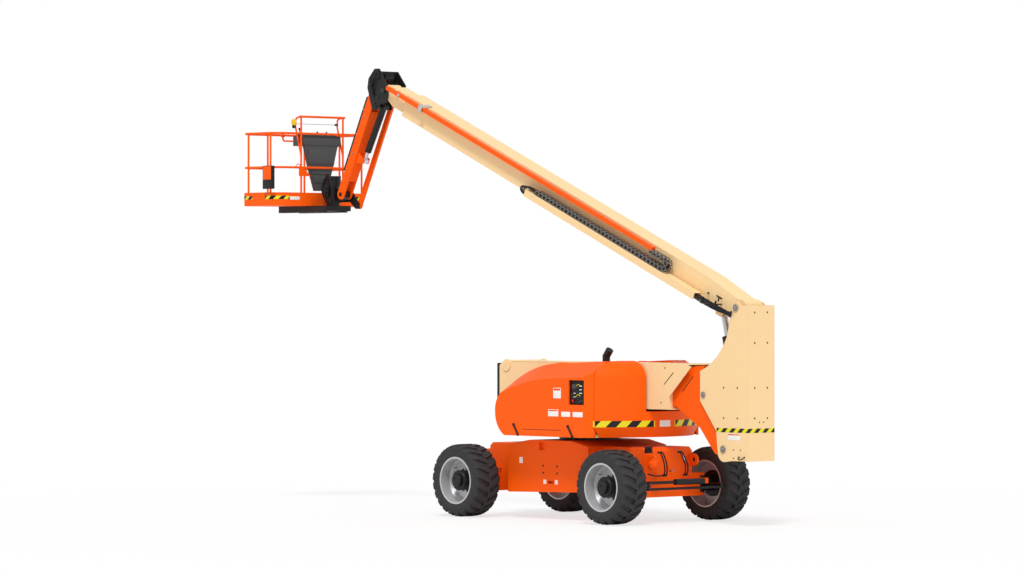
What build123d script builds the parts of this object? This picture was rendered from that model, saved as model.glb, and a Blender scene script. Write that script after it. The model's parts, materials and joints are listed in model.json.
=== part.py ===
from build123d import *
import os
from math import cos, hypot, radians, sin, sqrt

# Articulating boom lift, stored with its tower boom folded, its main boom raised
# 23 degrees and its jib hanging. Millimetres. +X points from the steered axle to the
# driven axle (and to the platform), +Y to the machine's left, +Z up. The origin is on
# the ground, on the swing axis.

os.makedirs("parts", exist_ok=True)

# ---- clearances -------------------------------------------------------------------
seat_gap = 0.3          # between pieces that sit on each other
pin_gap = 0.3           # around a pin in its bore, on the radius
slide_gap = 0.5         # between a wear pad and the tube that slides on it

# ---- running gear -----------------------------------------------------------------
wheelbase = 3050
wheel_centre_y = 995    # tyre centre plane from the middle of the machine
tyre_radius = 520
tyre_width = 450
tyre_shoulder = 70      # radius drop from the tread to the side wall
lug_count = 22          # tread lugs on each side of the tyre
lug_depth = 28
lug_width = 62          # around the tyre
lug_sweep = 150         # how far a lug's outer end trails its inner end
bead_radius = 325
bead_half_width = 195
rim_wall = 12
rim_flange_height = 22
rim_flange_width = 12
disc_thickness = 16
disc_outer_face = -16   # outboard face of the wheel disc, from the tyre centre plane
hub_radius = 145
hub_flange_radius = 185
hub_flange_thickness = 28
hub_reach = 192         # outer end of the planetary hub, from the tyre centre plane
hub_nose = 40           # thickness of the smaller end cap of the hub

kingpin_y = 700
kingpin_radius = 28
knuckle_boss_radius = 58
knuckle_boss_half = 116
ear_thickness = 42
spindle_radius = 105
steer_arm_reach = 425   # from the axle line back to the tie rod
steer_arm_radius = 36
steer_arm_thickness = 30
steer_arm_z = 535
steer_pin_radius = 15
tie_rod_z = 490
tie_rod_radius = 19
steer_cylinder_z = 580
steer_cylinder_radius = 42
steer_cylinder_length = 550
steer_rod_radius = 22
steer_rod_length = 782
steer_base_y = -350     # anchored end of the steering cylinder
rod_eye_radius = 34
rod_eye_height = 36

beam_half_length = 600
beam_width = 200
beam_bottom = 360
beam_top = 680

# ---- chassis ----------------------------------------------------------------------
chassis_half_width = 750
chassis_drive_x = 900   # end of the wide middle box towards the driven axle
chassis_steer_x = -780  # end of the wide middle box towards the steered axle
chassis_top = 1120
chassis_end_top = 1050
chassis_bottom = 370
chassis_steer_bottom = 410
crown_half_length = 430
end_half_width = 450
end_length = 95         # of the end section past the axle line
end_top = 1060
end_slope = 60
lug_y = 400
lug_thickness = 32
lug_radius = 85
lug_hole_radius = 38
lug_centre_z = 870
lug_reach = 90
recess_x, recess_z, recess_width, recess_height, recess_depth = 180, 1035, 120, 105, 40
slot_x, slot_z, slot_length, slot_height, slot_depth = 0, 530, 126, 40, 60

bearing_radius = 430
bearing_height = 70

# ---- turntable --------------------------------------------------------------------
deck_thickness = 50
deck_half_width = 1085
deck_front_x = 420
cheek_inner_y = 335     # inner faces of the two long side plates that carry the tower
cheek_thickness = 25
cheek_top = 2205
tower_pivot_x, tower_pivot_z = 1365, 2159
tower_pin_radius = 40
nose_x = 1520           # front of the cheeks
bumper_thickness = 50
bumper_bottom, bumper_top = 1670, 2190

hood_side_y = 1130
hood_shoulder_y = 750
hood_inner_y = 385
hood_wall = 25
hood_bottom = 1190
hood_rear_x = -1170
hinge_y, hinge_z, hinge_radius = 372, 2200, 11.7
hood_hinges_x = (-650, 150)
hinge_length = 160

tail_radius = 1550
tail_taper = 60
tail_seam_gap = 8
tail_crease_z, tail_top_z = 2030, 2250
tail_band_bottom = 1330
slot_half_width = 333
slot_floor_z = 1550

panel_x0, panel_x1, panel_z0, panel_z1 = -1077, -787, 1645, 1986
panel_gap = 8

exhaust_x, exhaust_y, exhaust_radius = 190, -500, 55
exhaust_seat_z, exhaust_top_z, exhaust_lean = 2150, 2385, 75

# ---- tower boom -------------------------------------------------------------------
tower_half_width = 300
tower_wall = 14
tower_bottom_z, tower_top_z = 1583, 2220
tower_rear_x = -2240
fly_half_width = 220
fly_bottom_z, fly_top_z = 1630, 2170
fly_inner_x = 1000      # hidden end of the tower fly
fly_wall = 16

# ---- upright ----------------------------------------------------------------------
upright_half_width = 250
upright_wall = 20
upright_back_x = -3447
upright_bottom_z, upright_top_z = 906, 3030
lower_pin_x, lower_pin_z = -2963, 1062
mid_pin_x, mid_pin_z = -2572, 1800
boom_pivot_x, boom_pivot_z = -3206, 3000
upright_pin_radius = 38
mid_pin_radius = 30

# ---- main boom, in its own plane: u along the boom, v across it --------------------
boom_angle = 23
boom_half_width = 160
boom_bottom_v, boom_top_v = -190, 140
boom_length = 7670
boom_wall = 12
boom_pin_radius = 38
boom_fly_half_width = 133
boom_fly_bottom_v, boom_fly_top_v = -152, 115
boom_fly_inner_u, boom_fly_end_u = 1200, boom_length + 420
nose_pivot_u = boom_length + 535
nose_radius = 90
nose_pin_radius = 34
pad_length = 120

push_y0, push_y1 = 200, 260
push_v, push_depth = 100, 54
push_u0, push_u1 = 1830, boom_length + 390
push_arm_u, push_arm_width = boom_length + 230, 60    # arm of the fly that drives the push tube
guide_u, guide_length, guide_plate = boom_length - 480, 90, 16

trough_y0, trough_y1 = 200, 330
trough_u0, trough_u1 = 750, 4530
trough_bottom_v, trough_top_v, trough_wall = -198, -96, 5
trough_brackets_u = (900, 2000, 3100, 4300)

chain_width, chain_depth = 110, 70
chain_low_v = -65       # middle of the run that lies on the trough
loop_radius = 65        # from the middle of the loop to the middle of the chain
chain_loop_u, chain_end_u = 1510, 4330
link_pitch, link_opening, link_notch = 84, 46, 20

# ---- lift cylinders: base pin, rod's eye, and half the gap between the eye's lugs ---
tower_lug_gap, main_lug_gap, jib_lug_gap = 85, 65, 42
eye_lug, jib_eye_lug = 25, 20
main_lift_base = (-3100, 1350)
main_lift_eye = (-2714, 2936)
tower_lift_base = (950, 1330)
tower_lift_eye = (-450, 1440)

# ---- jib --------------------------------------------------------------------------
nose_x_world = boom_pivot_x + nose_pivot_u * cos(radians(boom_angle))
nose_z_world = boom_pivot_z + nose_pivot_u * sin(radians(boom_angle))
jib_top_x, jib_top_z = nose_x_world + 273.26, nose_z_world + 104.05
jib_length = 1825
jib_angle = -63.3
jib_half_width, jib_plate, jib_half_depth = 85, 25, 75
jib_fork_top, jib_fork_bottom = 420, 250
jib_pin_radius = 30
link_dx, link_dz = -152, -180          # link pivots from the jib's pivots
link_y0, link_y1 = -182, -142
link_half_depth = 42
link_pin_radius = 20
head_near_y, head_far_y, head_plate = 165, -208, 20
head_inner_y = -95                     # inner plate between jib and link
jib_cylinder_base = (jib_top_x - 100, jib_top_z - 330)
jib_cylinder_eye = (jib_top_x + 350, jib_top_z - 1130)
jib_dx, jib_dz = cos(radians(jib_angle)), sin(radians(jib_angle))
jib_bottom = (jib_top_x + jib_length * jib_dx, jib_top_z + jib_length * jib_dz)

# ---- platform ---------------------------------------------------------------------
rotate_x = jib_bottom[0] + 280
floor_bottom, floor_thickness = jib_bottom[1] - 169.6, 25
rotator_radius = 120
rotator_bottom, rotator_top = floor_bottom + 45, floor_bottom + 450
support_top, support_bottom = floor_bottom, floor_bottom - 100
support_half_width, support_reach = 250, rotate_x + 1000
platform_x0, platform_x1, platform_half_width = rotate_x + 240, rotate_x + 1150, 915
platform_corner = 145
toe_height, toe_wall = 200, 38
rail_radius, post_radius = 17, 15
rail_inset = 4
post_from_jib_end, post_from_entry_end = 135, 200
rail_bend = 90
mid_rail_z, top_rail_z, frame_top_z = floor_bottom + 580, floor_bottom + 1095, floor_bottom + 1350
frame_half_width, bar_overhang = 410, 35
guard_radius, guard_reach, guard_bend, guard_foot_z = 13, 135, 55, floor_bottom + 755
entry_half_width = 360
drop_bar_y0, drop_bar_y1, drop_bar_z = -318, 65, floor_bottom + 1010
drop_bar_radius, drop_bar_bend = 13, 40
console_tray_z0, console_tray_z1, console_half_width = floor_bottom + 910, floor_bottom + 1050, 380
console_middle_z, console_foot_z = floor_bottom + 610, floor_bottom + 230


# ---- drawing planes and repeated shapes --------------------------------------------
def side_plane(y=0.0):
    """Upright plane across Y: sketch x is +X, sketch y is +Z, extrusion goes to -Y."""
    return Plane(origin=(0, y, 0), x_dir=(1, 0, 0), z_dir=(0, -1, 0))


def slanted_plane(x, z, angle, y=0.0):
    """Side plane whose sketch x runs at an angle up from +X, from the point (x, z)."""
    a = radians(angle)
    return Plane(origin=(x, y, z), x_dir=(cos(a), 0, sin(a)), z_dir=(0, -1, 0))


def boom_plane(y=0.0):
    return slanted_plane(boom_pivot_x, boom_pivot_z, boom_angle, y)


def plate(plane, points, thickness):
    """A flat plate with straight edges, from the plane towards -Y."""
    with BuildPart() as piece:
        with BuildSketch(plane):
            with BuildLine():
                Polyline(*points, close=True)
            make_face()
        extrude(amount=thickness)
    return piece.part


def rod_y(x, z, radius, y0, y1):
    """A round bar along Y from y0 to y1."""
    with BuildPart() as piece:
        with BuildSketch(side_plane(y1)):
            with Locations((x, z)):
                Circle(radius)
        extrude(amount=y1 - y0)
    return piece.part


def box(x0, x1, y0, y1, z0, z1):
    with BuildPart() as piece:
        with BuildSketch(Plane.XY.offset(z0)):
            with Locations(((x0 + x1) / 2, (y0 + y1) / 2)):
                Rectangle(x1 - x0, y1 - y0)
        extrude(amount=z1 - z0)
    return piece.part


def tube_between(a, b, radius):
    """A round bar from point a to point b."""
    run = Vector(*b) - Vector(*a)
    with BuildPart() as piece:
        with BuildSketch(Plane(origin=a, z_dir=run)):
            Circle(radius)
        extrude(amount=run.length)
    return piece.part


# ---- wheels -----------------------------------------------------------------------
# name, axle x, side of the machine
axle_x = wheelbase / 2
wheels = (
    ("steer_left", -axle_x, 1),
    ("steer_right", -axle_x, -1),
    ("drive_left", axle_x, 1),
    ("drive_right", axle_x, -1),
)


def wheel_plane(x, side):
    """Sketch x points outboard from the tyre's centre plane, sketch y up."""
    return Plane(origin=(x, side * wheel_centre_y, tyre_radius), x_dir=(0, side, 0), z_dir=(side, 0, 0))


def wheel_turned(x, side, points):
    """A solid turned about the wheel's axis from a half section (outboard, radius)."""
    with BuildPart() as piece:
        with BuildSketch(wheel_plane(x, side)):
            with BuildLine():
                Polyline(*points, close=True)
            make_face()
        revolve(axis=Axis((x, 0, tyre_radius), (0, 1, 0)))
    return piece.part


half_tyre = tyre_width / 2
tread_radius = tyre_radius - lug_depth
tyre_section = (
    (-bead_half_width, bead_radius),
    (bead_half_width, bead_radius),
    (bead_half_width, bead_radius + 25),
    (half_tyre - 3, tyre_radius - tyre_shoulder - 20),
    (half_tyre - 45, tread_radius),
    (45 - half_tyre, tread_radius),
    (3 - half_tyre, tyre_radius - tyre_shoulder - 20),
    (-bead_half_width, bead_radius + 25),
)
# the form that the tips of the lugs lie on
lug_envelope = (
    (-half_tyre, bead_radius),
    (half_tyre, bead_radius),
    (half_tyre, tyre_radius - tyre_shoulder),
    (half_tyre - 45, tyre_radius),
    (45 - half_tyre, tyre_radius),
    (-half_tyre, tyre_radius - tyre_shoulder),
)


def turned_form(points):
    """A solid turned about the Y axis from a half section (along Y, radius)."""
    with BuildPart() as piece:
        with BuildSketch(Plane.YZ):
            with BuildLine():
                Polyline(*points, close=True)
            make_face()
        revolve(axis=Axis.Y)
    return piece.part


lug_root = tread_radius - 90
lug_step = 360 / lug_count
with BuildPart() as lugs:
    for side, first_angle in ((1, 0), (-1, lug_step / 2)):
        for lug_index in range(lug_count):
            angle = radians(first_angle + lug_index * lug_step)
            up = Vector(sin(angle), 0, cos(angle))
            with BuildSketch(Plane(origin=up * lug_root, x_dir=(0, side, 0), z_dir=up)):
                with BuildLine():
                    Polyline((8, -side * (lug_sweep - lug_width) / 2), (8, -side * (lug_sweep + lug_width) / 2),
                             (half_tyre + 10, side * (lug_sweep - lug_width) / 2),
                             (half_tyre + 10, side * (lug_sweep + lug_width) / 2), close=True)
                make_face()
            extrude(amount=tyre_radius - lug_root + 20)
    add(turned_form(lug_envelope), mode=Mode.INTERSECT)
with BuildPart() as tyre_form:
    add(turned_form(tyre_section))
    add(lugs.part)

rim_outer = bead_radius - seat_gap
rim_inner = rim_outer - rim_wall
rim_edge = bead_half_width + seat_gap + rim_flange_width
disc_inner_face = disc_outer_face - disc_thickness
rim_section = (
    (-rim_edge, rim_inner),
    (disc_inner_face, rim_inner),
    (disc_inner_face, hub_radius + seat_gap),
    (disc_outer_face, hub_radius + seat_gap),
    (disc_outer_face, rim_inner - 50),
    (disc_outer_face + 60, rim_inner),
    (rim_edge, rim_inner),
    (rim_edge, bead_radius + rim_flange_height),
    (rim_edge - rim_flange_width, bead_radius + rim_flange_height),
    (rim_edge - rim_flange_width, rim_outer),
    (rim_flange_width - rim_edge, rim_outer),
    (rim_flange_width - rim_edge, bead_radius + rim_flange_height),
    (-rim_edge, bead_radius + rim_flange_height),
)
hub_inner_face = disc_inner_face - seat_gap - hub_flange_thickness
hub_section = (
    (hub_inner_face, 0),
    (hub_inner_face, hub_flange_radius),
    (disc_inner_face - seat_gap, hub_flange_radius),
    (disc_inner_face - seat_gap, hub_radius),
    (hub_reach - hub_nose - 12, hub_radius),
    (hub_reach - hub_nose, hub_radius - 12),
    (hub_reach - hub_nose, hub_radius * 0.62),
    (hub_reach - 8, hub_radius * 0.62),
    (hub_reach, hub_radius * 0.62 - 8),
    (hub_reach, 0),
)

for wheel_name, wheel_x, wheel_side in wheels:
    with BuildPart() as tyre:
        with Locations((wheel_x, wheel_centre_y, tyre_radius)):
            add(tyre_form.part)
        if wheel_side < 0:
            mirror(about=Plane.XZ, mode=Mode.REPLACE)
    tyre.part.label = "tyre_" + wheel_name
    export_step(tyre.part, f"parts/tyre_{wheel_name}.step")
    rim = wheel_turned(wheel_x, wheel_side, rim_section)
    rim.label = "rim_" + wheel_name
    export_step(rim, f"parts/rim_{wheel_name}.step")
    hub = wheel_turned(wheel_x, wheel_side, hub_section)
    hub.label = "hub_" + wheel_name
    export_step(hub, f"parts/hub_{wheel_name}.step")

hub_face_y = wheel_centre_y + hub_inner_face - seat_gap   # where a spindle ends

# ---- knuckles, tie rod and steering cylinder -----------------------------------------
arm_end_x = -axle_x - steer_arm_reach
ear_inner = knuckle_boss_half + 2
for side_name, side in (("left", 1), ("right", -1)):
    with BuildPart() as knuckle:
        with BuildSketch(Plane.XY.offset(tyre_radius - knuckle_boss_half)):
            with Locations((-axle_x, side * kingpin_y)):
                Circle(knuckle_boss_radius)
        extrude(amount=2 * knuckle_boss_half)
        with BuildSketch(Plane.XY.offset(tyre_radius - ear_inner - ear_thickness)):
            with Locations((-axle_x, side * kingpin_y)):
                Circle(kingpin_radius)
        extrude(amount=2 * (ear_inner + ear_thickness))
        with BuildSketch(Plane(origin=(-axle_x, side * kingpin_y, tyre_radius), z_dir=(0, side, 0))):
            Circle(spindle_radius)
        extrude(amount=hub_face_y - kingpin_y)
        with BuildSketch(Plane.XY.offset(steer_arm_z - steer_arm_thickness / 2)):
            with Locations(((-axle_x + arm_end_x) / 2, side * kingpin_y)):
                Rectangle(steer_arm_reach, 2 * steer_arm_radius)
            with Locations((arm_end_x, side * kingpin_y)):
                Circle(steer_arm_radius)
        extrude(amount=steer_arm_thickness)
        with BuildSketch(Plane.XY.offset(tie_rod_z - rod_eye_height / 2)):
            with Locations((arm_end_x, side * kingpin_y)):
                Circle(steer_pin_radius)
        extrude(amount=steer_arm_z - tie_rod_z + rod_eye_height / 2)
    knuckle.part.label = "knuckle_" + side_name
    export_step(knuckle.part, f"parts/knuckle_{side_name}.step")

with BuildPart() as tie_rod:
    for side in (1, -1):
        with BuildSketch(Plane.XY.offset(tie_rod_z - rod_eye_height / 2)):
            with Locations((arm_end_x, side * kingpin_y)):
                Circle(rod_eye_radius)
        extrude(amount=rod_eye_height)
    with BuildSketch(Plane(origin=(arm_end_x, -kingpin_y, tie_rod_z), z_dir=(0, 1, 0))):
        Circle(tie_rod_radius)
    extrude(amount=2 * kingpin_y)
    for side in (1, -1):
        with BuildSketch(Plane.XY.offset(tie_rod_z - rod_eye_height)):
            with Locations((arm_end_x, side * kingpin_y)):
                Circle(steer_pin_radius + pin_gap)
        extrude(amount=2 * rod_eye_height, mode=Mode.SUBTRACT)
tie_rod.part.label = "tie_rod"
export_step(tie_rod.part, "parts/tie_rod.step")

with BuildPart() as steer_cylinder:
    with BuildSketch(Plane(origin=(arm_end_x, steer_base_y, steer_cylinder_z), z_dir=(0, 1, 0))):
        Circle(steer_cylinder_radius)
    extrude(amount=steer_cylinder_length)
    with BuildSketch(Plane(origin=(arm_end_x, steer_base_y + 40, steer_cylinder_z), z_dir=(0, 1, 0))):
        Circle(steer_rod_radius + pin_gap)
    extrude(amount=steer_cylinder_length, mode=Mode.SUBTRACT)
steer_cylinder.part.label = "steer_cylinder"
export_step(steer_cylinder.part, "parts/steer_cylinder.step")

with BuildPart() as steer_rod:
    with BuildSketch(Plane(origin=(arm_end_x, kingpin_y, steer_cylinder_z), z_dir=(0, -1, 0))):
        Circle(steer_rod_radius)
    extrude(amount=steer_rod_length)
    with BuildSketch(Plane.XY.offset(steer_cylinder_z - rod_eye_height / 2)):
        with Locations((arm_end_x, kingpin_y)):
            Circle(rod_eye_radius)
    extrude(amount=rod_eye_height)
    # its pin ends on top of the knuckle's arm, where it can slide
    pin_foot = steer_arm_z + steer_arm_thickness / 2 + seat_gap
    with BuildSketch(Plane.XY.offset(pin_foot)):
        with Locations((arm_end_x, kingpin_y)):
            Circle(steer_pin_radius)
    extrude(amount=steer_cylinder_z - pin_foot)
steer_rod.part.label = "steer_rod"
export_step(steer_rod.part, "parts/steer_rod.step")

# ---- axles ---------------------------------------------------------------------------
axle_seat_z = beam_top + seat_gap
cylinder_bracket = 60
with BuildPart() as steer_axle:
    add(box(-axle_x - beam_width / 2, -axle_x + beam_width / 2,
            -beam_half_length, beam_half_length, beam_bottom, beam_top))
    for side in (1, -1):
        for level in (ear_inner, -ear_inner - ear_thickness):
            with BuildSketch(Plane.XY.offset(tyre_radius + level)):
                with Locations((-axle_x, side * kingpin_y)):
                    Circle(knuckle_boss_radius)
                with Locations((-axle_x, side * (kingpin_y + beam_half_length - 60) / 2)):
                    Rectangle(2 * knuckle_boss_radius, kingpin_y - beam_half_length + 60)
            extrude(amount=ear_thickness)
        with BuildSketch(Plane.XY.offset(tyre_radius - ear_inner - ear_thickness - 1)):
            with Locations((-axle_x, side * kingpin_y)):
                Circle(kingpin_radius + pin_gap)
        extrude(amount=2 * (ear_inner + ear_thickness + 1), mode=Mode.SUBTRACT)
    # bracket that holds the anchored end of the steering cylinder
    add(box(arm_end_x - steer_cylinder_radius, -axle_x - beam_width / 2,
            steer_base_y - cylinder_bracket, steer_base_y - seat_gap,
            steer_cylinder_z - 30, steer_cylinder_z + 45))
steer_axle.part.label = "steer_axle"
export_step(steer_axle.part, "parts/steer_axle.step")

with BuildPart() as drive_axle:
    add(box(axle_x - beam_width / 2, axle_x + beam_width / 2,
            -beam_half_length, beam_half_length, beam_bottom, beam_top))
    for side in (1, -1):
        with BuildSketch(Plane(origin=(axle_x, side * (beam_half_length - 1), tyre_radius), z_dir=(0, side, 0))):
            Circle(spindle_radius + 20)
        extrude(amount=hub_face_y - beam_half_length + 1)
drive_axle.part.label = "drive_axle"
export_step(drive_axle.part, "parts/drive_axle.step")

# ---- chassis frame ---------------------------------------------------------------------
notch_half = beam_width / 2 + 40
end_x = axle_x + end_length
with BuildPart() as chassis_frame:
    with BuildSketch(side_plane()):
        with BuildLine():
            Polyline(
                (chassis_steer_x, chassis_steer_bottom), (chassis_drive_x, chassis_bottom),
                (chassis_drive_x, chassis_end_top), (crown_half_length, chassis_top),
                (-crown_half_length, chassis_top), (chassis_steer_x, chassis_end_top), close=True)
        make_face()
    extrude(amount=chassis_half_width, both=True)
    for end, bottom in ((1, chassis_bottom), (-1, chassis_steer_bottom)):
        with BuildSketch(side_plane()):
            with BuildLine():
                Polyline(
                    (end * 500, bottom), (end * (axle_x - notch_half), bottom),
                    (end * (axle_x - notch_half), axle_seat_z), (end * end_x, axle_seat_z),
                    (end * end_x, end_top - end_slope), (end * (end_x - end_slope), end_top - 10),
                    (end * 500, end_top - 10), close=True)
            make_face()
        extrude(amount=end_half_width, both=True)
        for side in (1, -1):
            with BuildSketch(side_plane(side * lug_y + lug_thickness / 2)):
                with Locations((end * (end_x + lug_reach), lug_centre_z)):
                    Circle(lug_radius)
                with Locations((end * (end_x + lug_reach / 2 - 10), lug_centre_z)):
                    Rectangle(lug_reach + 20, 2 * lug_radius)
            extrude(amount=lug_thickness)
            with BuildSketch(side_plane(side * lug_y + lug_thickness)):
                with Locations((end * (end_x + lug_reach), lug_centre_z)):
                    Circle(lug_hole_radius)
            extrude(amount=2 * lug_thickness, mode=Mode.SUBTRACT)
    for side in (1, -1):
        for cut in ((recess_x, recess_z, recess_width, recess_height, recess_depth),
                    (slot_x, slot_z, slot_length, slot_height, slot_depth)):
            cut_x, cut_z, cut_width, cut_height, cut_depth = cut
            with BuildSketch(side_plane(side * chassis_half_width)):
                with Locations((cut_x, cut_z)):
                    Rectangle(cut_width, cut_height)
            extrude(amount=side * cut_depth, mode=Mode.SUBTRACT)
chassis_frame.part.label = "chassis_frame"
export_step(chassis_frame.part, "parts/chassis_frame.step")

with BuildPart() as swing_bearing:
    with BuildSketch(Plane.XY.offset(chassis_top)):
        Circle(bearing_radius)
        Circle(bearing_radius - 110, mode=Mode.SUBTRACT)
    extrude(amount=bearing_height)
swing_bearing.part.label = "swing_bearing"
export_step(swing_bearing.part, "parts/swing_bearing.step")

# ---- turntable -------------------------------------------------------------------------
deck_bottom = chassis_top + bearing_height + seat_gap
deck_top = deck_bottom + deck_thickness
cheek_outer_y = cheek_inner_y + cheek_thickness
tail_front_x = hood_rear_x - tail_seam_gap
deck_rear_x = tail_front_x + seat_gap
with BuildPart() as turntable_frame:
    with BuildSketch(Plane.XY.offset(deck_bottom)):
        with BuildLine():
            Polyline(
                (deck_rear_x, -900), (deck_rear_x, 900), (-1000, deck_half_width),
                (deck_front_x, deck_half_width), (deck_front_x + 150, 700), (deck_front_x + 200, cheek_outer_y),
                (deck_front_x + 200, -cheek_outer_y), (deck_front_x + 150, -700),
                (deck_front_x, -deck_half_width), (-1000, -deck_half_width), close=True)
        make_face()
    extrude(amount=deck_thickness)
    for y in (cheek_outer_y, -cheek_inner_y):
        add(plate(side_plane(y), (
            (deck_rear_x, deck_bottom), (deck_rear_x, slot_floor_z), (-1050, slot_floor_z + 60),
            (-1050, cheek_top), (nose_x - 50, cheek_top), (nose_x, cheek_top - 50),
            (nose_x, bumper_bottom), (1180, deck_bottom)), cheek_thickness))
    add(box(nose_x - 20, nose_x, -cheek_outer_y, cheek_outer_y, bumper_bottom, 1900))
    # floor between the side plates, ahead of the deck
    add(box(deck_front_x, 1180, -cheek_inner_y - 1, cheek_inner_y + 1, deck_bottom, deck_top))
    # lugs for the tower lift cylinder
    for y in (95 + 25, -95):
        add(plate(side_plane(y), (
            (tower_lift_base[0] - 110, deck_top - 1), (tower_lift_base[0] - 60, tower_lift_base[1] + 60),
            (tower_lift_base[0] + 60, tower_lift_base[1] + 60),
            (tower_lift_base[0] + 110, deck_top - 1)), 25))
    add(rod_y(tower_pivot_x, tower_pivot_z, 85, cheek_inner_y, cheek_outer_y + 15))
    add(rod_y(tower_pivot_x, tower_pivot_z, 85, -cheek_outer_y - 15, -cheek_inner_y))
    add(rod_y(tower_pivot_x, tower_pivot_z, tower_pin_radius + pin_gap, -500, 500), mode=Mode.SUBTRACT)
    add(rod_y(*tower_lift_base, 32, -130, 130))
turntable_frame.part.label = "turntable_frame"
export_step(turntable_frame.part, "parts/turntable_frame.step")

with BuildPart() as bumper:
    add(box(nose_x + seat_gap, nose_x + bumper_thickness, -cheek_outer_y, cheek_outer_y,
            bumper_bottom, bumper_top))
    fillet(bumper.edges().filter_by(Axis.Y).group_by(Axis.X)[-1], 18)
bumper.part.label = "bumper"
export_step(bumper.part, "parts/bumper.step")

with BuildPart() as counterweight:
    with BuildSketch(Plane.XZ):
        with BuildLine():
            base = Polyline(
                (0, hood_bottom), (tail_radius - tail_taper, hood_bottom), (tail_radius, tail_band_bottom),
                (tail_radius, tail_crease_z))
            ThreePointArc(base @ 1, (tail_radius - 70, tail_crease_z + 145), (tail_radius - 300, tail_top_z))
            Polyline((tail_radius - 300, tail_top_z), (0, tail_top_z), (0, hood_bottom))
        make_face()
    revolve(axis=Axis.Z)
    add(box(tail_front_x, 2 * tail_radius, -2 * tail_radius, 2 * tail_radius, 0, 2 * tail_top_z),
        mode=Mode.SUBTRACT)
    add(box(-2 * tail_radius, 0, -slot_half_width, slot_half_width, slot_floor_z, 2 * tail_top_z),
        mode=Mode.SUBTRACT)
counterweight.part.label = "counterweight"
export_step(counterweight.part, "parts/counterweight.step")


def hood_profile(y, front_x, brow_z, bow, crown, rear_z, grow):
    """Side outline of a hood, moved outwards by grow (inwards when negative).

    brow_z is where the front turns into the top, bow a point on the top's curve,
    crown the point where that curve ends, and rear_z the height at the seam."""
    rear = hood_rear_x if grow == 0 else hood_rear_x - 50
    low = hood_bottom if grow == 0 else hood_bottom - 50
    front = front_x + grow
    with BuildSketch(side_plane(y)) as outline:
        with BuildLine():
            Line((rear, low), (front - 190, low))
            ThreePointArc((front - 190, low), (front - 48, 1330), (front, 1520))
            ThreePointArc((front, 1520), (front - 28, 1680), (front - 120, brow_z + grow))
            ThreePointArc((front - 120, brow_z + grow), (bow[0], bow[1] + grow), (crown[0], crown[1] + grow))
            Line((crown[0], crown[1] + grow), (rear, rear_z + grow))
            Line((rear, rear_z + grow), (rear, low))
        make_face()
    return outline.sketch


def hood_solid(side, grow):
    """The filled form of a hood: flat side, sloping shoulder and flat top."""
    outer = hood_profile(side * (hood_side_y + grow), 750, 1790, (250, 1908), (-373, 2005), tail_crease_z, grow)
    shoulder = hood_profile(side * hood_shoulder_y, 900, 1930, (390, 2110), (-197, 2209), tail_top_z, grow)
    inner_y = hood_inner_y if grow == 0 else hood_inner_y - 50
    with BuildPart() as form:
        loft(sections=[outer, shoulder])
        extrude(shoulder, amount=side * (hood_shoulder_y - inner_y))
        with BuildSketch(Plane.XY.offset(1000)):
            Circle(tail_radius - 5 + grow)
        extrude(amount=1500, mode=Mode.INTERSECT)
    return form.part


for side_name, side in (("left", 1), ("right", -1)):
    with BuildPart() as hood:
        add(hood_solid(side, 0))
        add(hood_solid(side, -hood_wall), mode=Mode.SUBTRACT)
        for hinge_x in hood_hinges_x:
            with BuildSketch(Plane(origin=(hinge_x - hinge_length / 2, side * hinge_y, hinge_z), z_dir=(1, 0, 0))):
                Circle(hinge_radius)
            extrude(amount=hinge_length)
            add(box(hinge_x - hinge_length / 2, hinge_x + hinge_length / 2,
                    min(side * hinge_y, side * (hood_inner_y + 40)),
                    max(side * hinge_y, side * (hood_inner_y + 40)),
                    hinge_z - 4, hinge_z + 5))
            add(box(hinge_x - hinge_length / 2, hinge_x + hinge_length / 2,
                    min(side * (hood_inner_y + 30), side * (hood_inner_y + 40)),
                    max(side * (hood_inner_y + 30), side * (hood_inner_y + 40)),
                    hinge_z - 4, tail_top_z - 160 if hinge_x > 0 else tail_top_z - 15))
        if side > 0:
            add(box(panel_x0, panel_x1, hood_side_y - 100, hood_side_y + 10, panel_z0, panel_z1),
                mode=Mode.SUBTRACT)
    hood.part.label = "hood_" + side_name
    export_step(hood.part, f"parts/hood_{side_name}.step")

with BuildPart() as ground_control:
    add(box(panel_x0 + panel_gap, panel_x1 - panel_gap, 1000, hood_side_y - hood_wall - panel_gap,
            panel_z0 + panel_gap, panel_z1 - panel_gap))
    add(box(panel_x0 + 40, panel_x1 - 40, 1000, 1040, deck_top, panel_z0 + panel_gap + 5))
ground_control.part.label = "ground_control"
export_step(ground_control.part, "parts/ground_control.step")

with BuildPart() as engine_block:
    add(box(-700, 250, -900, -420, deck_top, 1850))
engine_block.part.label = "engine_block"
export_step(engine_block.part, "parts/engine_block.step")

with BuildPart() as hydraulic_tank:
    add(box(-620, 100, 450, 900, deck_top, 1750))
    fillet(hydraulic_tank.edges().filter_by(Axis.Z), 40)
hydraulic_tank.part.label = "hydraulic_tank"
export_step(hydraulic_tank.part, "parts/hydraulic_tank.step")

exhaust_bend_z = exhaust_top_z - 95
with BuildPart() as exhaust:
    with BuildSketch(Plane.XY.offset(exhaust_seat_z - 60)):
        with Locations((exhaust_x, exhaust_y)):
            Circle(exhaust_radius + 20)
    extrude(amount=90)
    add(tube_between((exhaust_x, exhaust_y, exhaust_seat_z), (exhaust_x, exhaust_y, exhaust_bend_z + 20),
                     exhaust_radius))
    add(hood_solid(-1, 0), mode=Mode.SUBTRACT)
    add(tube_between((exhaust_x, exhaust_y, exhaust_bend_z), (exhaust_x - exhaust_lean, exhaust_y, exhaust_top_z),
                     exhaust_radius))
exhaust.part.label = "exhaust"
export_step(exhaust.part, "parts/exhaust.step")


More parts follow.
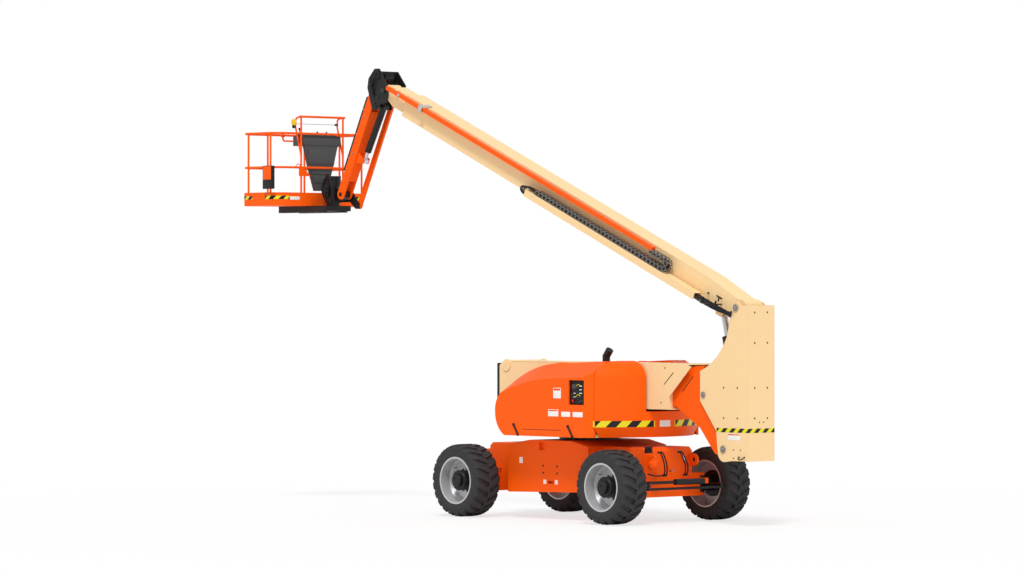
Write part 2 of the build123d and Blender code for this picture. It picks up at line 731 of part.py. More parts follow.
# ---- hydraulic cylinders ------------------------------------------------------------
def unit(a, b):
    length = hypot(b[0] - a[0], b[1] - a[1])
    return (b[0] - a[0]) / length, (b[1] - a[1]) / length


def at(start, end, distance, y=0.0):
    """The point a distance from start towards end, as X, Y, Z."""
    dx, dz = unit(start, end)
    return start[0] + dx * distance, y, start[1] + dz * distance


def cylinder_barrel(base, eye, radius, length, pin, boss, half_boss, bore):
    with BuildPart() as piece:
        add(tube_between(at(base, eye, 0), at(base, eye, length), radius))
        add(rod_y(*base, boss, -half_boss, half_boss))
        add(tube_between(at(base, eye, boss + 20), at(base, eye, length + 10), bore + pin_gap),
            mode=Mode.SUBTRACT)
        add(rod_y(*base, pin + pin_gap, -2 * half_boss, 2 * half_boss), mode=Mode.SUBTRACT)
    return piece.part


def cylinder_rod(base, eye, start, radius, pin, boss, half_boss, half_gap):
    """Rod with its eye and the pin that ends against the two lugs."""
    with BuildPart() as piece:
        add(tube_between(at(base, eye, start), at(eye, base, 0), radius))
        add(rod_y(*eye, boss, -half_boss, half_boss))
        add(rod_y(*eye, pin, seat_gap - half_gap, half_gap - seat_gap))
    return piece.part


def pin_ends(eye, pin, half_gap, lug):
    """The two ends of an eye's pin, on the outer faces of its lugs."""
    outer = half_gap + lug
    return rod_y(*eye, pin, outer - 2, outer + 8) + rod_y(*eye, pin, -outer - 8, 2 - outer)


tower_lift_barrel = cylinder_barrel(tower_lift_base, tower_lift_eye, 68, 1325, 32, 75, 88, 40)
tower_lift_barrel.label = "tower_lift_barrel"
export_step(tower_lift_barrel, "parts/tower_lift_barrel.step")
tower_lift_rod = cylinder_rod(tower_lift_base, tower_lift_eye, 110, 40, 30, 55, 60, tower_lug_gap)
tower_lift_rod.label = "tower_lift_rod"
export_step(tower_lift_rod, "parts/tower_lift_rod.step")

main_lift_barrel = cylinder_barrel(main_lift_base, main_lift_eye, 82, 1290, 35, 88, 100, 46)
main_lift_barrel.label = "main_lift_barrel"
export_step(main_lift_barrel, "parts/main_lift_barrel.step")
main_lift_rod = cylinder_rod(main_lift_base, main_lift_eye, 330, 46, 32, 50, 60, main_lug_gap)
main_lift_rod.label = "main_lift_rod"
export_step(main_lift_rod, "parts/main_lift_rod.step")

jib_cylinder_barrel = cylinder_barrel(jib_cylinder_base, jib_cylinder_eye, 50, 770, 22, 58, 54, 28)
jib_cylinder_barrel.label = "jib_cylinder_barrel"
export_step(jib_cylinder_barrel, "parts/jib_cylinder_barrel.step")
jib_cylinder_rod = cylinder_rod(jib_cylinder_base, jib_cylinder_eye, 105, 28, 20, 42, 38, jib_lug_gap)
jib_cylinder_rod.label = "jib_cylinder_rod"
export_step(jib_cylinder_rod, "parts/jib_cylinder_rod.step")

# ---- tower boom ------------------------------------------------------------------------
tower_base_outline = (
    (tower_rear_x, tower_top_z), (1300, tower_top_z), (1365, 2225), (1435, 2195), (1440, 2120),
    (1340, 2060), (1120, tower_bottom_z), (-1980, tower_bottom_z), (-1940, 1762), (-2377, 2183))
tower_bore_half = tower_half_width - tower_wall
with BuildPart() as tower_boom:
    add(plate(side_plane(tower_half_width), tower_base_outline, 2 * tower_half_width))
    add(box(-3000, fly_inner_x + 60, -tower_bore_half, tower_bore_half,
            tower_bottom_z + tower_wall, tower_top_z - tower_wall), mode=Mode.SUBTRACT)
    # wear pads at the mouth and inside
    for pad_x in (-1930, -700):
        with BuildSketch(Plane(origin=(pad_x, 0, (tower_bottom_z + tower_top_z) / 2), x_dir=(0, 1, 0),
                               z_dir=(1, 0, 0))):
            Rectangle(2 * tower_bore_half, tower_top_z - tower_bottom_z - 2 * tower_wall)
            with Locations((0, (fly_bottom_z + fly_top_z - tower_bottom_z - tower_top_z) / 2)):
                Rectangle(2 * (fly_half_width + slide_gap), fly_top_z - fly_bottom_z + 2 * slide_gap,
                          mode=Mode.SUBTRACT)
        extrude(amount=pad_length)
    # lugs for the rod of the lift cylinder
    for y in (tower_lug_gap + eye_lug, -tower_lug_gap):
        add(plate(side_plane(y), (
            (tower_lift_eye[0] - 90, tower_bottom_z + 1), (tower_lift_eye[0] - 45, tower_lift_eye[1] - 45),
            (tower_lift_eye[0] + 45, tower_lift_eye[1] - 45),
            (tower_lift_eye[0] + 90, tower_bottom_z + 1)), eye_lug))
    add(pin_ends(tower_lift_eye, 30, tower_lug_gap, eye_lug))
    add(rod_y(tower_pivot_x, tower_pivot_z, tower_pin_radius, -cheek_outer_y - 15, cheek_outer_y + 15))
    add(rod_y(tower_pivot_x, tower_pivot_z, 75, -cheek_inner_y + 8, cheek_inner_y - 8))
tower_boom.part.label = "tower_boom"
export_step(tower_boom.part, "parts/tower_boom.step")

with BuildPart() as tower_fly:
    add(box(-2480, fly_inner_x, -fly_half_width, fly_half_width, fly_bottom_z, fly_top_z))
    add(plate(side_plane(fly_half_width), (
        (-1990, fly_bottom_z), (-2472, 1344), (-2767, 995), (-2900, 965), (-3040, 1000), (-3055, 1090),
        (-2640, 1640), (-2520, 1720), (-2520, 2130), (-2575, 2205), (-2400, 2190), (-2250, fly_top_z)),
        2 * fly_half_width))
    add(box(-2440, fly_inner_x + 10, fly_wall - fly_half_width, fly_half_width - fly_wall,
            fly_bottom_z + fly_wall, fly_top_z - fly_wall), mode=Mode.SUBTRACT)
    # slot for the lift cylinder of the main boom
    add(box(-3100, -2560, -125, 125, 900, 1640), mode=Mode.SUBTRACT)
    add(rod_y(lower_pin_x, lower_pin_z, upright_pin_radius + pin_gap, -400, 400), mode=Mode.SUBTRACT)
tower_fly.part.label = "tower_fly"
export_step(tower_fly.part, "parts/tower_fly.step")

# ---- upright ---------------------------------------------------------------------------
with BuildPart() as upright:
    for y in (upright_half_width, upright_wall - upright_half_width):
        with BuildSketch(side_plane(y)):
            with BuildLine():
                Polyline((upright_back_x, upright_bottom_z), (upright_back_x, upright_top_z),
                         (boom_pivot_x - 70, upright_top_z))
                ThreePointArc((boom_pivot_x - 70, upright_top_z), (boom_pivot_x + 20, boom_pivot_z + 74),
                              (boom_pivot_x + 76, boom_pivot_z))
                Line((boom_pivot_x + 76, boom_pivot_z), (-3031, 2614))
                ThreePointArc((-3031, 2614), (-2800, 2300), (-2503, 2129))
                Polyline((-2503, 2129), (-2503, 1717), (-2817, 1312), (-2850, 1010))
                ThreePointArc((-2850, 1010), (-2900, 915), (-3010, 892))
                Polyline((-3010, 892), (-3120, upright_bottom_z), (upright_back_x, upright_bottom_z))
            make_face()
        extrude(amount=upright_wall)
    add(box(upright_back_x, upright_back_x + upright_wall, -upright_half_width, upright_half_width,
            upright_bottom_z, upright_top_z))
    # lugs for the main lift cylinder
    for y in (135, -110):
        add(plate(side_plane(y), (
            (upright_back_x + 5, main_lift_base[1] - 150), (main_lift_base[0] + 55, main_lift_base[1] - 50),
            (main_lift_base[0] + 55, main_lift_base[1] + 50),
            (upright_back_x + 5, main_lift_base[1] + 150)), 25))
    add(rod_y(*main_lift_base, 35, -135, 135))
    inner = upright_half_width - upright_wall
    add(rod_y(lower_pin_x, lower_pin_z, upright_pin_radius, -upright_half_width - 12, -125.5))
    add(rod_y(lower_pin_x, lower_pin_z, upright_pin_radius, 125.5, upright_half_width + 12))
    add(rod_y(mid_pin_x, mid_pin_z, mid_pin_radius, -upright_half_width - 12, upright_half_width + 12))
    add(rod_y(boom_pivot_x, boom_pivot_z, boom_pin_radius, -upright_half_width - 12,
              upright_half_width + 12))
upright.part.label = "upright"
export_step(upright.part, "parts/upright.step")

# ---- main boom --------------------------------------------------------------------------
boom_depth = boom_top_v - boom_bottom_v
with BuildPart() as main_boom:
    with BuildSketch(boom_plane()):
        with BuildLine():
            Polyline((0, -125), (420, boom_bottom_v), (boom_length, boom_bottom_v),
                     (boom_length, boom_top_v), (740, boom_top_v), (80, 85))
            ThreePointArc((80, 85), (-110, 0), (0, -125))
        make_face()
    extrude(amount=boom_half_width, both=True)
    with BuildSketch(boom_plane()):
        with Locations(((boom_fly_inner_u + boom_length) / 2, (boom_top_v + boom_bottom_v) / 2)):
            Rectangle(boom_length - boom_fly_inner_u + 200, boom_depth - 2 * boom_wall)
    extrude(amount=boom_half_width - boom_wall, both=True, mode=Mode.SUBTRACT)
    # wear pads around the fly
    for pad_u in (boom_length - pad_length, 5200):
        with BuildSketch(boom_plane()):
            with Locations((pad_u + pad_length / 2, (boom_top_v + boom_bottom_v) / 2)):
                Rectangle(pad_length, boom_depth - 2 * boom_wall)
        extrude(amount=boom_half_width - boom_wall, both=True)
        with BuildSketch(boom_plane()):
            with Locations((pad_u + pad_length / 2, (boom_fly_top_v + boom_fly_bottom_v) / 2)):
                Rectangle(pad_length + 20, boom_fly_top_v - boom_fly_bottom_v + 2 * slide_gap)
        extrude(amount=boom_fly_half_width + slide_gap, both=True, mode=Mode.SUBTRACT)
    # lug for the rod of the main lift cylinder
    for y in (main_lug_gap + eye_lug, -main_lug_gap):
        add(plate(boom_plane(y), ((320, -170), (375, -300), (480, -300), (560, -170)), eye_lug))
    add(pin_ends(main_lift_eye, 32, main_lug_gap, eye_lug))
    add(rod_y(boom_pivot_x, boom_pivot_z, boom_pin_radius + pin_gap, -300, 300), mode=Mode.SUBTRACT)
    # brackets that carry the trough, and the guide of the push tube
    for bracket_u in trough_brackets_u:
        with BuildSketch(boom_plane(trough_y0 - seat_gap)):
            with Locations((bracket_u, trough_bottom_v + 50)):
                Rectangle(60, 50)
        extrude(amount=trough_y0 - seat_gap - boom_half_width + 5)
    guide_reach = (push_depth + guide_plate) / 2 + slide_gap
    for guide_v in (push_v + guide_reach, push_v - guide_reach):
        with BuildSketch(boom_plane(push_y1 + 20)):
            with Locations((guide_u, guide_v)):
                Rectangle(guide_length, guide_plate)
        extrude(amount=push_y1 + 20 - boom_half_width + 5)
main_boom.part.label = "main_boom"
export_step(main_boom.part, "parts/main_boom.step")

chain_floor_v = chain_low_v - chain_depth / 2 - seat_gap
trough_half_height = (trough_top_v - trough_bottom_v) / 2
with BuildPart() as hose_trough:
    for wall_y in (trough_y1, trough_y0 + trough_wall):
        with BuildSketch(boom_plane(wall_y)):
            with Locations(((trough_u0 + trough_u1) / 2, trough_bottom_v + trough_half_height)):
                Rectangle(trough_u1 - trough_u0, 2 * trough_half_height)
        extrude(amount=trough_wall)
    with BuildSketch(boom_plane(trough_y1 - 1)):
        with Locations(((trough_u0 + trough_u1) / 2, chain_floor_v - trough_wall / 2)):
            Rectangle(trough_u1 - trough_u0, trough_wall)
    extrude(amount=trough_y1 - trough_y0 - 2)
hose_trough.part.label = "hose_trough"
export_step(hose_trough.part, "parts/hose_trough.step")

# the chain lies on the trough's floor, turns up round its loop and ends at the push tube
chain_high_v = chain_low_v + 2 * loop_radius
chain_top_end_u = push_u0 - seat_gap
chain_y = (trough_y0 + trough_y1) / 2
with BuildPart() as drag_chain:
    with BuildSketch(boom_plane(chain_y + chain_width / 2)):
        with Locations((chain_loop_u, chain_low_v + loop_radius)):
            Circle(loop_radius + chain_depth / 2)
            Circle(loop_radius - chain_depth / 2, mode=Mode.SUBTRACT)
        with Locations((chain_loop_u + loop_radius, chain_low_v + loop_radius)):
            Rectangle(2 * loop_radius, 4 * loop_radius, mode=Mode.SUBTRACT)
        for end_u, level in ((chain_end_u, chain_low_v), (chain_top_end_u, chain_high_v)):
            with Locations(((chain_loop_u + end_u) / 2, level)):
                Rectangle(end_u - chain_loop_u, chain_depth)
        # openings between the links: on the upper side of the low run, and outside the loop
        for link_index in range(int((chain_end_u - chain_loop_u) / link_pitch)):
            with Locations((chain_loop_u + (link_index + 0.8) * link_pitch, chain_low_v + chain_depth / 2)):
                Rectangle(link_opening, 2 * link_notch, mode=Mode.SUBTRACT)
        for turn in (112, 156, 204, 248):
            reach = loop_radius + chain_depth / 2
            with Locations(Location((chain_loop_u + reach * cos(radians(turn)),
                                     chain_low_v + loop_radius + reach * sin(radians(turn))), turn)):
                Rectangle(2 * link_notch, link_opening, mode=Mode.SUBTRACT)
    extrude(amount=chain_width)
drag_chain.part.label = "drag_chain"
export_step(drag_chain.part, "parts/drag_chain.step")

with BuildPart() as main_fly:
    with BuildSketch(boom_plane()):
        with BuildLine():
            Polyline((boom_fly_inner_u, boom_fly_bottom_v), (boom_fly_end_u - 140, boom_fly_bottom_v),
                     (boom_fly_end_u + 40, -90), (boom_fly_end_u + 40, 75),
                     (boom_fly_end_u - 30, boom_fly_top_v), (boom_fly_inner_u, boom_fly_top_v), close=True)
        make_face()
        with Locations((nose_pivot_u, 0)):
            Circle(nose_radius)
        with Locations((nose_pivot_u - 60, 0)):
            Rectangle(120, 150)
    extrude(amount=boom_fly_half_width, both=True)
    with BuildSketch(boom_plane()):
        with Locations(((boom_fly_inner_u + boom_fly_end_u - 60) / 2, (boom_fly_top_v + boom_fly_bottom_v) / 2)):
            Rectangle(boom_fly_end_u - boom_fly_inner_u + 60, boom_fly_top_v - boom_fly_bottom_v - 24)
    extrude(amount=boom_fly_half_width - 12, both=True, mode=Mode.SUBTRACT)
    with BuildSketch(boom_plane()):
        with Locations((nose_pivot_u, 0)):
            Circle(nose_pin_radius + pin_gap)
    extrude(amount=boom_fly_half_width + 10, both=True, mode=Mode.SUBTRACT)
    # arm that pushes the push tube's front end
    with BuildSketch(boom_plane(push_y0 - seat_gap)):
        with Locations((push_arm_u, push_v)):
            Rectangle(push_arm_width, push_depth)
    extrude(amount=push_y0 - seat_gap - boom_fly_half_width + 5)
main_fly.part.label = "main_fly"
export_step(main_fly.part, "parts/main_fly.step")

with BuildPart() as push_tube:
    with BuildSketch(boom_plane(push_y1)):
        with Locations(((push_u0 + push_u1) / 2, push_v)):
            Rectangle(push_u1 - push_u0, push_depth)
    extrude(amount=push_y1 - push_y0)
push_tube.part.label = "push_tube"
export_step(push_tube.part, "parts/push_tube.step")

# ---- jib head -------------------------------------------------------------------------
link_top = (jib_top_x + link_dx, jib_top_z + link_dz)


def from_jib_pivot(points):
    return [(jib_top_x + dx, jib_top_z + dz) for dx, dz in points]


near_outline = from_jib_pivot((
    (-377, -170), (-358, -20), (-170, 230), (-70, 230), (70, 90), (95, -50), (20, -270), (-20, -380),
    (-130, -395), (-170, -301), (-345, -290)))
far_outline = from_jib_pivot((
    (-377, -170), (-358, -20), (-180, 190), (-80, 190), (-60, -110), (-100, -240), (-200, -250), (-330, -230)))
inner_outline = from_jib_pivot((
    (-162, 190), (-80, 190), (80, 90), (95, -50), (20, -270), (-30, -385), (-152, -385)))
with BuildPart() as jib_head:
    add(plate(side_plane(head_near_y), near_outline, head_plate))
    add(plate(side_plane(head_far_y + head_plate), far_outline, head_plate))
    add(plate(side_plane(head_inner_y), inner_outline, head_plate))
    add(box(jib_top_x - 162, jib_top_x - 85, head_far_y, head_near_y, jib_top_z + 100, jib_top_z + 190))
    add(rod_y(nose_x_world, nose_z_world, nose_pin_radius, head_far_y - 10, head_near_y + 10))
    add(rod_y(jib_top_x, jib_top_z, jib_pin_radius, head_inner_y - head_plate, head_near_y + 10))
    add(rod_y(*jib_cylinder_base, 22, head_inner_y - head_plate, head_near_y + 8))
    add(rod_y(*link_top, link_pin_radius, head_far_y, link_y1))
jib_head.part.label = "jib_head"
export_step(jib_head.part, "parts/jib_head.step")


# ---- jib, in its own plane: u down the jib, v across, positive v towards the platform --
def jib_plane(y=0.0):
    return slanted_plane(jib_top_x, jib_top_z, jib_angle, y)


link_bottom = (jib_bottom[0] + link_dx, jib_bottom[1] + link_dz)
eye_u = (jib_cylinder_eye[0] - jib_top_x) * jib_dx + (jib_cylinder_eye[1] - jib_top_z) * jib_dz
eye_v = -(jib_cylinder_eye[0] - jib_top_x) * jib_dz + (jib_cylinder_eye[1] - jib_top_z) * jib_dx
with BuildPart() as jib_arm:
    for y in (jib_half_width, jib_plate - jib_half_width):
        with BuildSketch(jib_plane(y)):
            with Locations((jib_length / 2, 0)):
                SlotOverall(jib_length + 2 * jib_half_depth, 2 * jib_half_depth)
        extrude(amount=jib_plate)
    with BuildSketch(jib_plane(jib_half_width)):
        with Locations(((jib_fork_top + jib_length - jib_fork_bottom) / 2, 0)):
            Rectangle(jib_length - jib_fork_bottom - jib_fork_top, 2 * jib_half_depth)
    extrude(amount=2 * jib_half_width)
    for y in (jib_lug_gap + jib_eye_lug, -jib_lug_gap):
        add(plate(jib_plane(y), ((eye_u - 70, -jib_half_depth + 2), (eye_u - 38, eye_v - 36),
                                 (eye_u + 38, eye_v - 36), (eye_u + 90, -jib_half_depth + 2)), jib_eye_lug))
    add(pin_ends(jib_cylinder_eye, 20, jib_lug_gap, jib_eye_lug))
    with BuildSketch(jib_plane()):
        with Locations((0, 0), (jib_length, 0)):
            Circle(jib_pin_radius + pin_gap)
    extrude(amount=jib_half_width + 10, both=True, mode=Mode.SUBTRACT)
jib_arm.part.label = "jib_arm"
export_step(jib_arm.part, "parts/jib_arm.step")

with BuildPart() as jib_link:
    with BuildSketch(slanted_plane(*link_top, jib_angle, link_y1)):
        with Locations((jib_length / 2, 0)):
            SlotOverall(jib_length + 2 * link_half_depth, 2 * link_half_depth)
        with Locations((0, 0), (jib_length, 0)):
            Circle(link_pin_radius + pin_gap, mode=Mode.SUBTRACT)
    extrude(amount=link_y1 - link_y0)
jib_link.part.label = "jib_link"
export_step(jib_link.part, "parts/jib_link.step")

# ---- rotator ----------------------------------------------------------------------------
lug_half = jib_half_width - jib_plate - 2
with BuildPart() as rotator:
    with BuildSketch(Plane.XY.offset(rotator_bottom)):
        with Locations((rotate_x, 0)):
            Circle(rotator_radius)
    extrude(amount=rotator_top - rotator_bottom)
    add(plate(side_plane(lug_half), (
        (jib_bottom[0] - 50, jib_bottom[1] - 45), (jib_bottom[0] + 60, rotator_bottom + 35),
        (rotate_x, rotator_bottom + 35), (rotate_x, rotator_top - 60), (jib_bottom[0] + 80, jib_bottom[1] + 75), (jib_bottom[0] - 50, jib_bottom[1] + 45)),
        2 * lug_half))
    add(rod_y(*jib_bottom, jib_pin_radius, -jib_half_width - 8, jib_half_width + 8))
    add(plate(side_plane(-112), (
        (link_bottom[0] - 38, link_bottom[1] - 38), (link_bottom[0] + 38, link_bottom[1] - 38),
        (jib_bottom[0] + 10, rotator_bottom + 10), (rotate_x, rotator_bottom + 10),
        (rotate_x, rotator_bottom + 205), (jib_bottom[0] - 20, rotator_bottom + 185),
        (link_bottom[0] - 38, link_bottom[1] + 38)), 20))
    add(rod_y(*link_bottom, link_pin_radius, link_y0, -112))
    add(box(rotate_x - 90, rotate_x, -132, -40, rotator_bottom + 10, rotator_bottom + 205))
rotator.part.label = "rotator"
export_step(rotator.part, "parts/rotator.step")

# ---- platform ---------------------------------------------------------------------------
with BuildPart() as platform_support:
    with BuildSketch(Plane.XY.offset(support_top - 1)):
        with Locations((rotate_x, 0)):
            Circle(rotator_radius - 20)
    extrude(amount=rotator_bottom - seat_gap - support_top + 1)
    for beam_y in (-support_half_width + 50, support_half_width - 50):
        add(box(rotate_x - 40, support_reach, beam_y - 50, beam_y + 50, support_bottom, support_top))
    add(box(rotate_x - 120, rotate_x + 190, -support_half_width, support_half_width,
            support_bottom + 20, support_top))
platform_support.part.label = "platform_support"
export_step(platform_support.part, "parts/platform_support.step")


def octagon(inset):
    """Platform outline, its four corners cut off, moved in by inset."""
    x0, x1, y1 = platform_x0 + inset, platform_x1 - inset, platform_half_width - inset
    c = platform_corner - inset * (2 - sqrt(2))
    return ((x0 + c, -y1), (x1 - c, -y1), (x1, c - y1), (x1, y1 - c), (x1 - c, y1), (x0 + c, y1),
            (x0, y1 - c), (x0, c - y1))


floor_seat = floor_bottom + seat_gap
floor_top = floor_seat + floor_thickness
with BuildPart() as platform_floor:
    with BuildSketch(Plane.XY.offset(floor_seat)):
        with BuildLine():
            Polyline(*octagon(0), close=True)
        make_face()
    extrude(amount=toe_height)
    with BuildSketch(Plane.XY.offset(floor_top)):
        with BuildLine():
            Polyline(*octagon(toe_wall), close=True)
        make_face()
    extrude(amount=toe_height, mode=Mode.SUBTRACT)
platform_floor.part.label = "platform_floor"
export_step(platform_floor.part, "parts/platform_floor.step")

rail_outline = octagon(rail_inset + rail_radius)
rail_x0 = platform_x0 + rail_inset + rail_radius
rail_x1 = platform_x1 - rail_inset - rail_radius
rail_y = platform_half_width - rail_inset - rail_radius
rail_foot = floor_seat + toe_height + seat_gap
post_x0, post_x1 = rail_x0 + post_from_jib_end, rail_x1 - post_from_entry_end
posts = (
    (post_x0, rail_y), (post_x1, rail_y), (post_x0, -rail_y), (post_x1, -rail_y),
    (rail_x1, entry_half_width), (rail_x1, -entry_half_width),
)
with BuildPart() as platform_rails:
    # the mid rail is open at the entry, and the top rail closes over it
    entry_rail = ((rail_x1, entry_half_width), *rail_outline[3:], *rail_outline[:3],
                  (rail_x1, -entry_half_width))
    for level, route, closed in ((mid_rail_z, entry_rail, False), (top_rail_z, rail_outline, True)):
        with BuildLine(Plane.XY.offset(level)) as rail_line:
            FilletPolyline(*route, radius=rail_bend, close=closed)
        with BuildSketch(Plane(origin=rail_line.line @ 0, z_dir=rail_line.line % 0)):
            Circle(rail_radius)
        sweep(path=rail_line.line)
    for x, y in posts:
        add(tube_between((x, y, rail_foot), (x, y, top_rail_z), post_radius))
    # tall frame over the console, with a bent guard bar at each of its sides
    for frame_y in (frame_half_width, -frame_half_width):
        add(tube_between((rail_x0, frame_y, rail_foot), (rail_x0, frame_y, frame_top_z), post_radius))
        with BuildLine(side_plane(frame_y)) as guard_line:
            FilletPolyline((rail_x0, frame_top_z), (rail_x0 + guard_reach, frame_top_z - 20),
                           (rail_x0 + guard_reach, frame_top_z - 150), (rail_x0, guard_foot_z),
                           radius=guard_bend)
        with BuildSketch(Plane(origin=guard_line.line @ 0, z_dir=guard_line.line % 0)):
            Circle(guard_radius)
        sweep(path=guard_line.line)
    add(tube_between((rail_x0, -frame_half_width - bar_overhang, frame_top_z),
                     (rail_x0, frame_half_width + bar_overhang, frame_top_z), rail_radius))
platform_rails.part.label = "platform_rails"
export_step(platform_rails.part, "parts/platform_rails.step")

bar_hang_z = top_rail_z - rail_radius - 6
with BuildPart() as drop_bar:
    with BuildLine(Plane(origin=(rail_x1, 0, 0), x_dir=(0, 1, 0), z_dir=(1, 0, 0))) as bar_line:
        FilletPolyline((drop_bar_y0, bar_hang_z), (drop_bar_y0, drop_bar_z), (drop_bar_y1, drop_bar_z),
                       (drop_bar_y1, bar_hang_z), radius=drop_bar_bend)
    with BuildSketch(Plane(origin=bar_line.line @ 0, z_dir=bar_line.line % 0)):
        Circle(drop_bar_radius)
    sweep(path=bar_line.line)
    for ring_y in (drop_bar_y0, drop_bar_y1):
        with BuildSketch(Plane(origin=(rail_x1, ring_y - 20, top_rail_z), z_dir=(0, 1, 0))):
            Circle(rail_radius + 12)
            Circle(rail_radius + pin_gap, mode=Mode.SUBTRACT)
        extrude(amount=40)
drop_bar.part.label = "drop_bar"
export_step(drop_bar.part, "parts/drop_bar.step")

with BuildPart() as platform_console:
    with BuildSketch(Plane(origin=(rail_x0 + rail_radius + seat_gap, 0, 0), x_dir=(0, 1, 0), z_dir=(1, 0, 0))):
        with BuildLine():
            Polyline((-console_half_width + 60, console_tray_z0), (-240, console_middle_z), (-110, console_foot_z),
                     (110, console_foot_z), (240, console_middle_z), (console_half_width - 60, console_tray_z0), close=True)
        make_face()
    extrude(amount=60)
    add(box(rail_x0 + rail_radius + seat_gap, rail_x0 + 230, -console_half_width, console_half_width,
            console_tray_z0, console_tray_z1))
platform_console.part.label = "platform_console"
export_step(platform_console.part, "parts/platform_console.step")
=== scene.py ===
import json
import math
import bmesh
import bpy
from mathutils import Matrix, Vector


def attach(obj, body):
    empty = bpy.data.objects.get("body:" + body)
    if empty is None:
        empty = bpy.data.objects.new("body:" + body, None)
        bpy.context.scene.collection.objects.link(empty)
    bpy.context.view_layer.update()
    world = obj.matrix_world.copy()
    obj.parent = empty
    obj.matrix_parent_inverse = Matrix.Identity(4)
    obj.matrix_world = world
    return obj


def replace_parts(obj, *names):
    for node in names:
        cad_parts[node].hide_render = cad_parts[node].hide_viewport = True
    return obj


# Articulating boom lift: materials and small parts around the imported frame, in metres.
# +X towards the driven axle and the platform, +Y the machine's left, +Z up.

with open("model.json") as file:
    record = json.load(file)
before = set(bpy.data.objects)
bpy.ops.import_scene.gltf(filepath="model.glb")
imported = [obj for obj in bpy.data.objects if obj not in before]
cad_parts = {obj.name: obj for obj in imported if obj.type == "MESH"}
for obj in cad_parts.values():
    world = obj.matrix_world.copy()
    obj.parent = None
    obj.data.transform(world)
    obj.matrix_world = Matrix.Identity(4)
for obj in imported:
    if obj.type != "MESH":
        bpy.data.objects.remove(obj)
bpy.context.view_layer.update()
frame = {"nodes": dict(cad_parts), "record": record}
scene = bpy.context.scene
cos, sin, pi, radians = math.cos, math.sin, math.pi, math.radians


# ---- camera, light, floor ----------------------------------------------------------
camera = bpy.data.objects.new("camera", bpy.data.cameras.new("camera"))
scene.collection.objects.link(camera)
camera.location = (-46.89, 43.40, 3.267)
camera.rotation_euler = Vector((0.7455, -0.6665, 0)).to_track_quat("-Z", "Y").to_euler()
camera.data.lens = 158.2
camera.data.sensor_width = 36
camera.data.clip_end = 400
scene.camera = camera
scene.view_settings.view_transform = "Standard"


def srgb(r, g, b):
    """Linear colour from 8-bit display values."""
    return [((c / 255 + 0.055) / 1.055) ** 2.4 if c > 10 else c / 255 / 12.92 for c in (r, g, b)] + [1.0]


def node(tree, kind, **inputs):
    made = tree.nodes.new(kind)
    for key, value in inputs.items():
        made.inputs[key.replace("_", " ")].default_value = value
    return made


def sun(name, location, energy, spread):
    """A soft sun that shines from location towards the machine; spread in degrees."""
    data = bpy.data.lights.new(name, "SUN")
    data.energy, data.angle = energy, radians(spread)
    made = bpy.data.objects.new(name, data)
    scene.collection.objects.link(made)
    made.location = location
    made.rotation_euler = (Vector((0, 0, 2)) - Vector(location)).to_track_quat("-Z", "Y").to_euler()


world = bpy.data.worlds.new("studio")
scene.world = world
world.use_nodes = True
tree = world.node_tree
tree.nodes.clear()
path = node(tree, "ShaderNodeLightPath")
seen = node(tree, "ShaderNodeMath")
seen.operation, seen.use_clamp = "ADD", True
tree.links.new(path.outputs["Is Camera Ray"], seen.inputs[0])
tree.links.new(path.outputs["Is Transmission Ray"], seen.inputs[1])
dim = node(tree, "ShaderNodeBackground", Color=(1, 1, 1, 1), Strength=0.64)
white = node(tree, "ShaderNodeBackground", Color=(1, 1, 1, 1), Strength=1.0)
mixed = node(tree, "ShaderNodeMixShader")
out = node(tree, "ShaderNodeOutputWorld")
tree.links.new(seen.outputs[0], mixed.inputs["Fac"])
tree.links.new(dim.outputs[0], mixed.inputs[1])
tree.links.new(white.outputs[0], mixed.inputs[2])
tree.links.new(mixed.outputs[0], out.inputs["Surface"])
sun("key", (-14, 18, 34), 1.85, 12)
sun("fill", (-30, 6, 12), 0.22, 30)

floor_mesh = bpy.data.meshes.new("floor")
floor_mesh.from_pydata([(-120, -120, 0), (120, -120, 0), (120, 120, 0), (-120, 120, 0)], [], [(0, 1, 2, 3)])
floor = bpy.data.objects.new("floor", floor_mesh)
scene.collection.objects.link(floor)
pale = bpy.data.materials.new("floor_pale")
pale.use_nodes = True
tree = pale.node_tree
tree.nodes.clear()
position = node(tree, "ShaderNodeNewGeometry")
length = node(tree, "ShaderNodeVectorMath")
length.operation = "LENGTH"
fade = node(tree, "ShaderNodeMapRange", From_Min=5.0, From_Max=16.0, To_Min=0.7)
fade.interpolation_type = "SMOOTHSTEP"
path = node(tree, "ShaderNodeLightPath")
both = node(tree, "ShaderNodeMath")
both.operation = "MULTIPLY"
matt = node(tree, "ShaderNodeBsdfDiffuse", Color=(0.86, 0.86, 0.86, 1))
glow = node(tree, "ShaderNodeEmission", Color=(1, 1, 1, 1), Strength=1.0)
mixed = node(tree, "ShaderNodeMixShader")
out = node(tree, "ShaderNodeOutputMaterial")
tree.links.new(position.outputs["Position"], length.inputs[0])
tree.links.new(length.outputs["Value"], fade.inputs["Value"])
tree.links.new(path.outputs["Is Camera Ray"], both.inputs[0])
tree.links.new(fade.outputs[0], both.inputs[1])
tree.links.new(both.outputs[0], mixed.inputs["Fac"])
tree.links.new(matt.outputs[0], mixed.inputs[1])
tree.links.new(glow.outputs[0], mixed.inputs[2])
tree.links.new(mixed.outputs[0], out.inputs["Surface"])
floor_mesh.materials.append(pale)


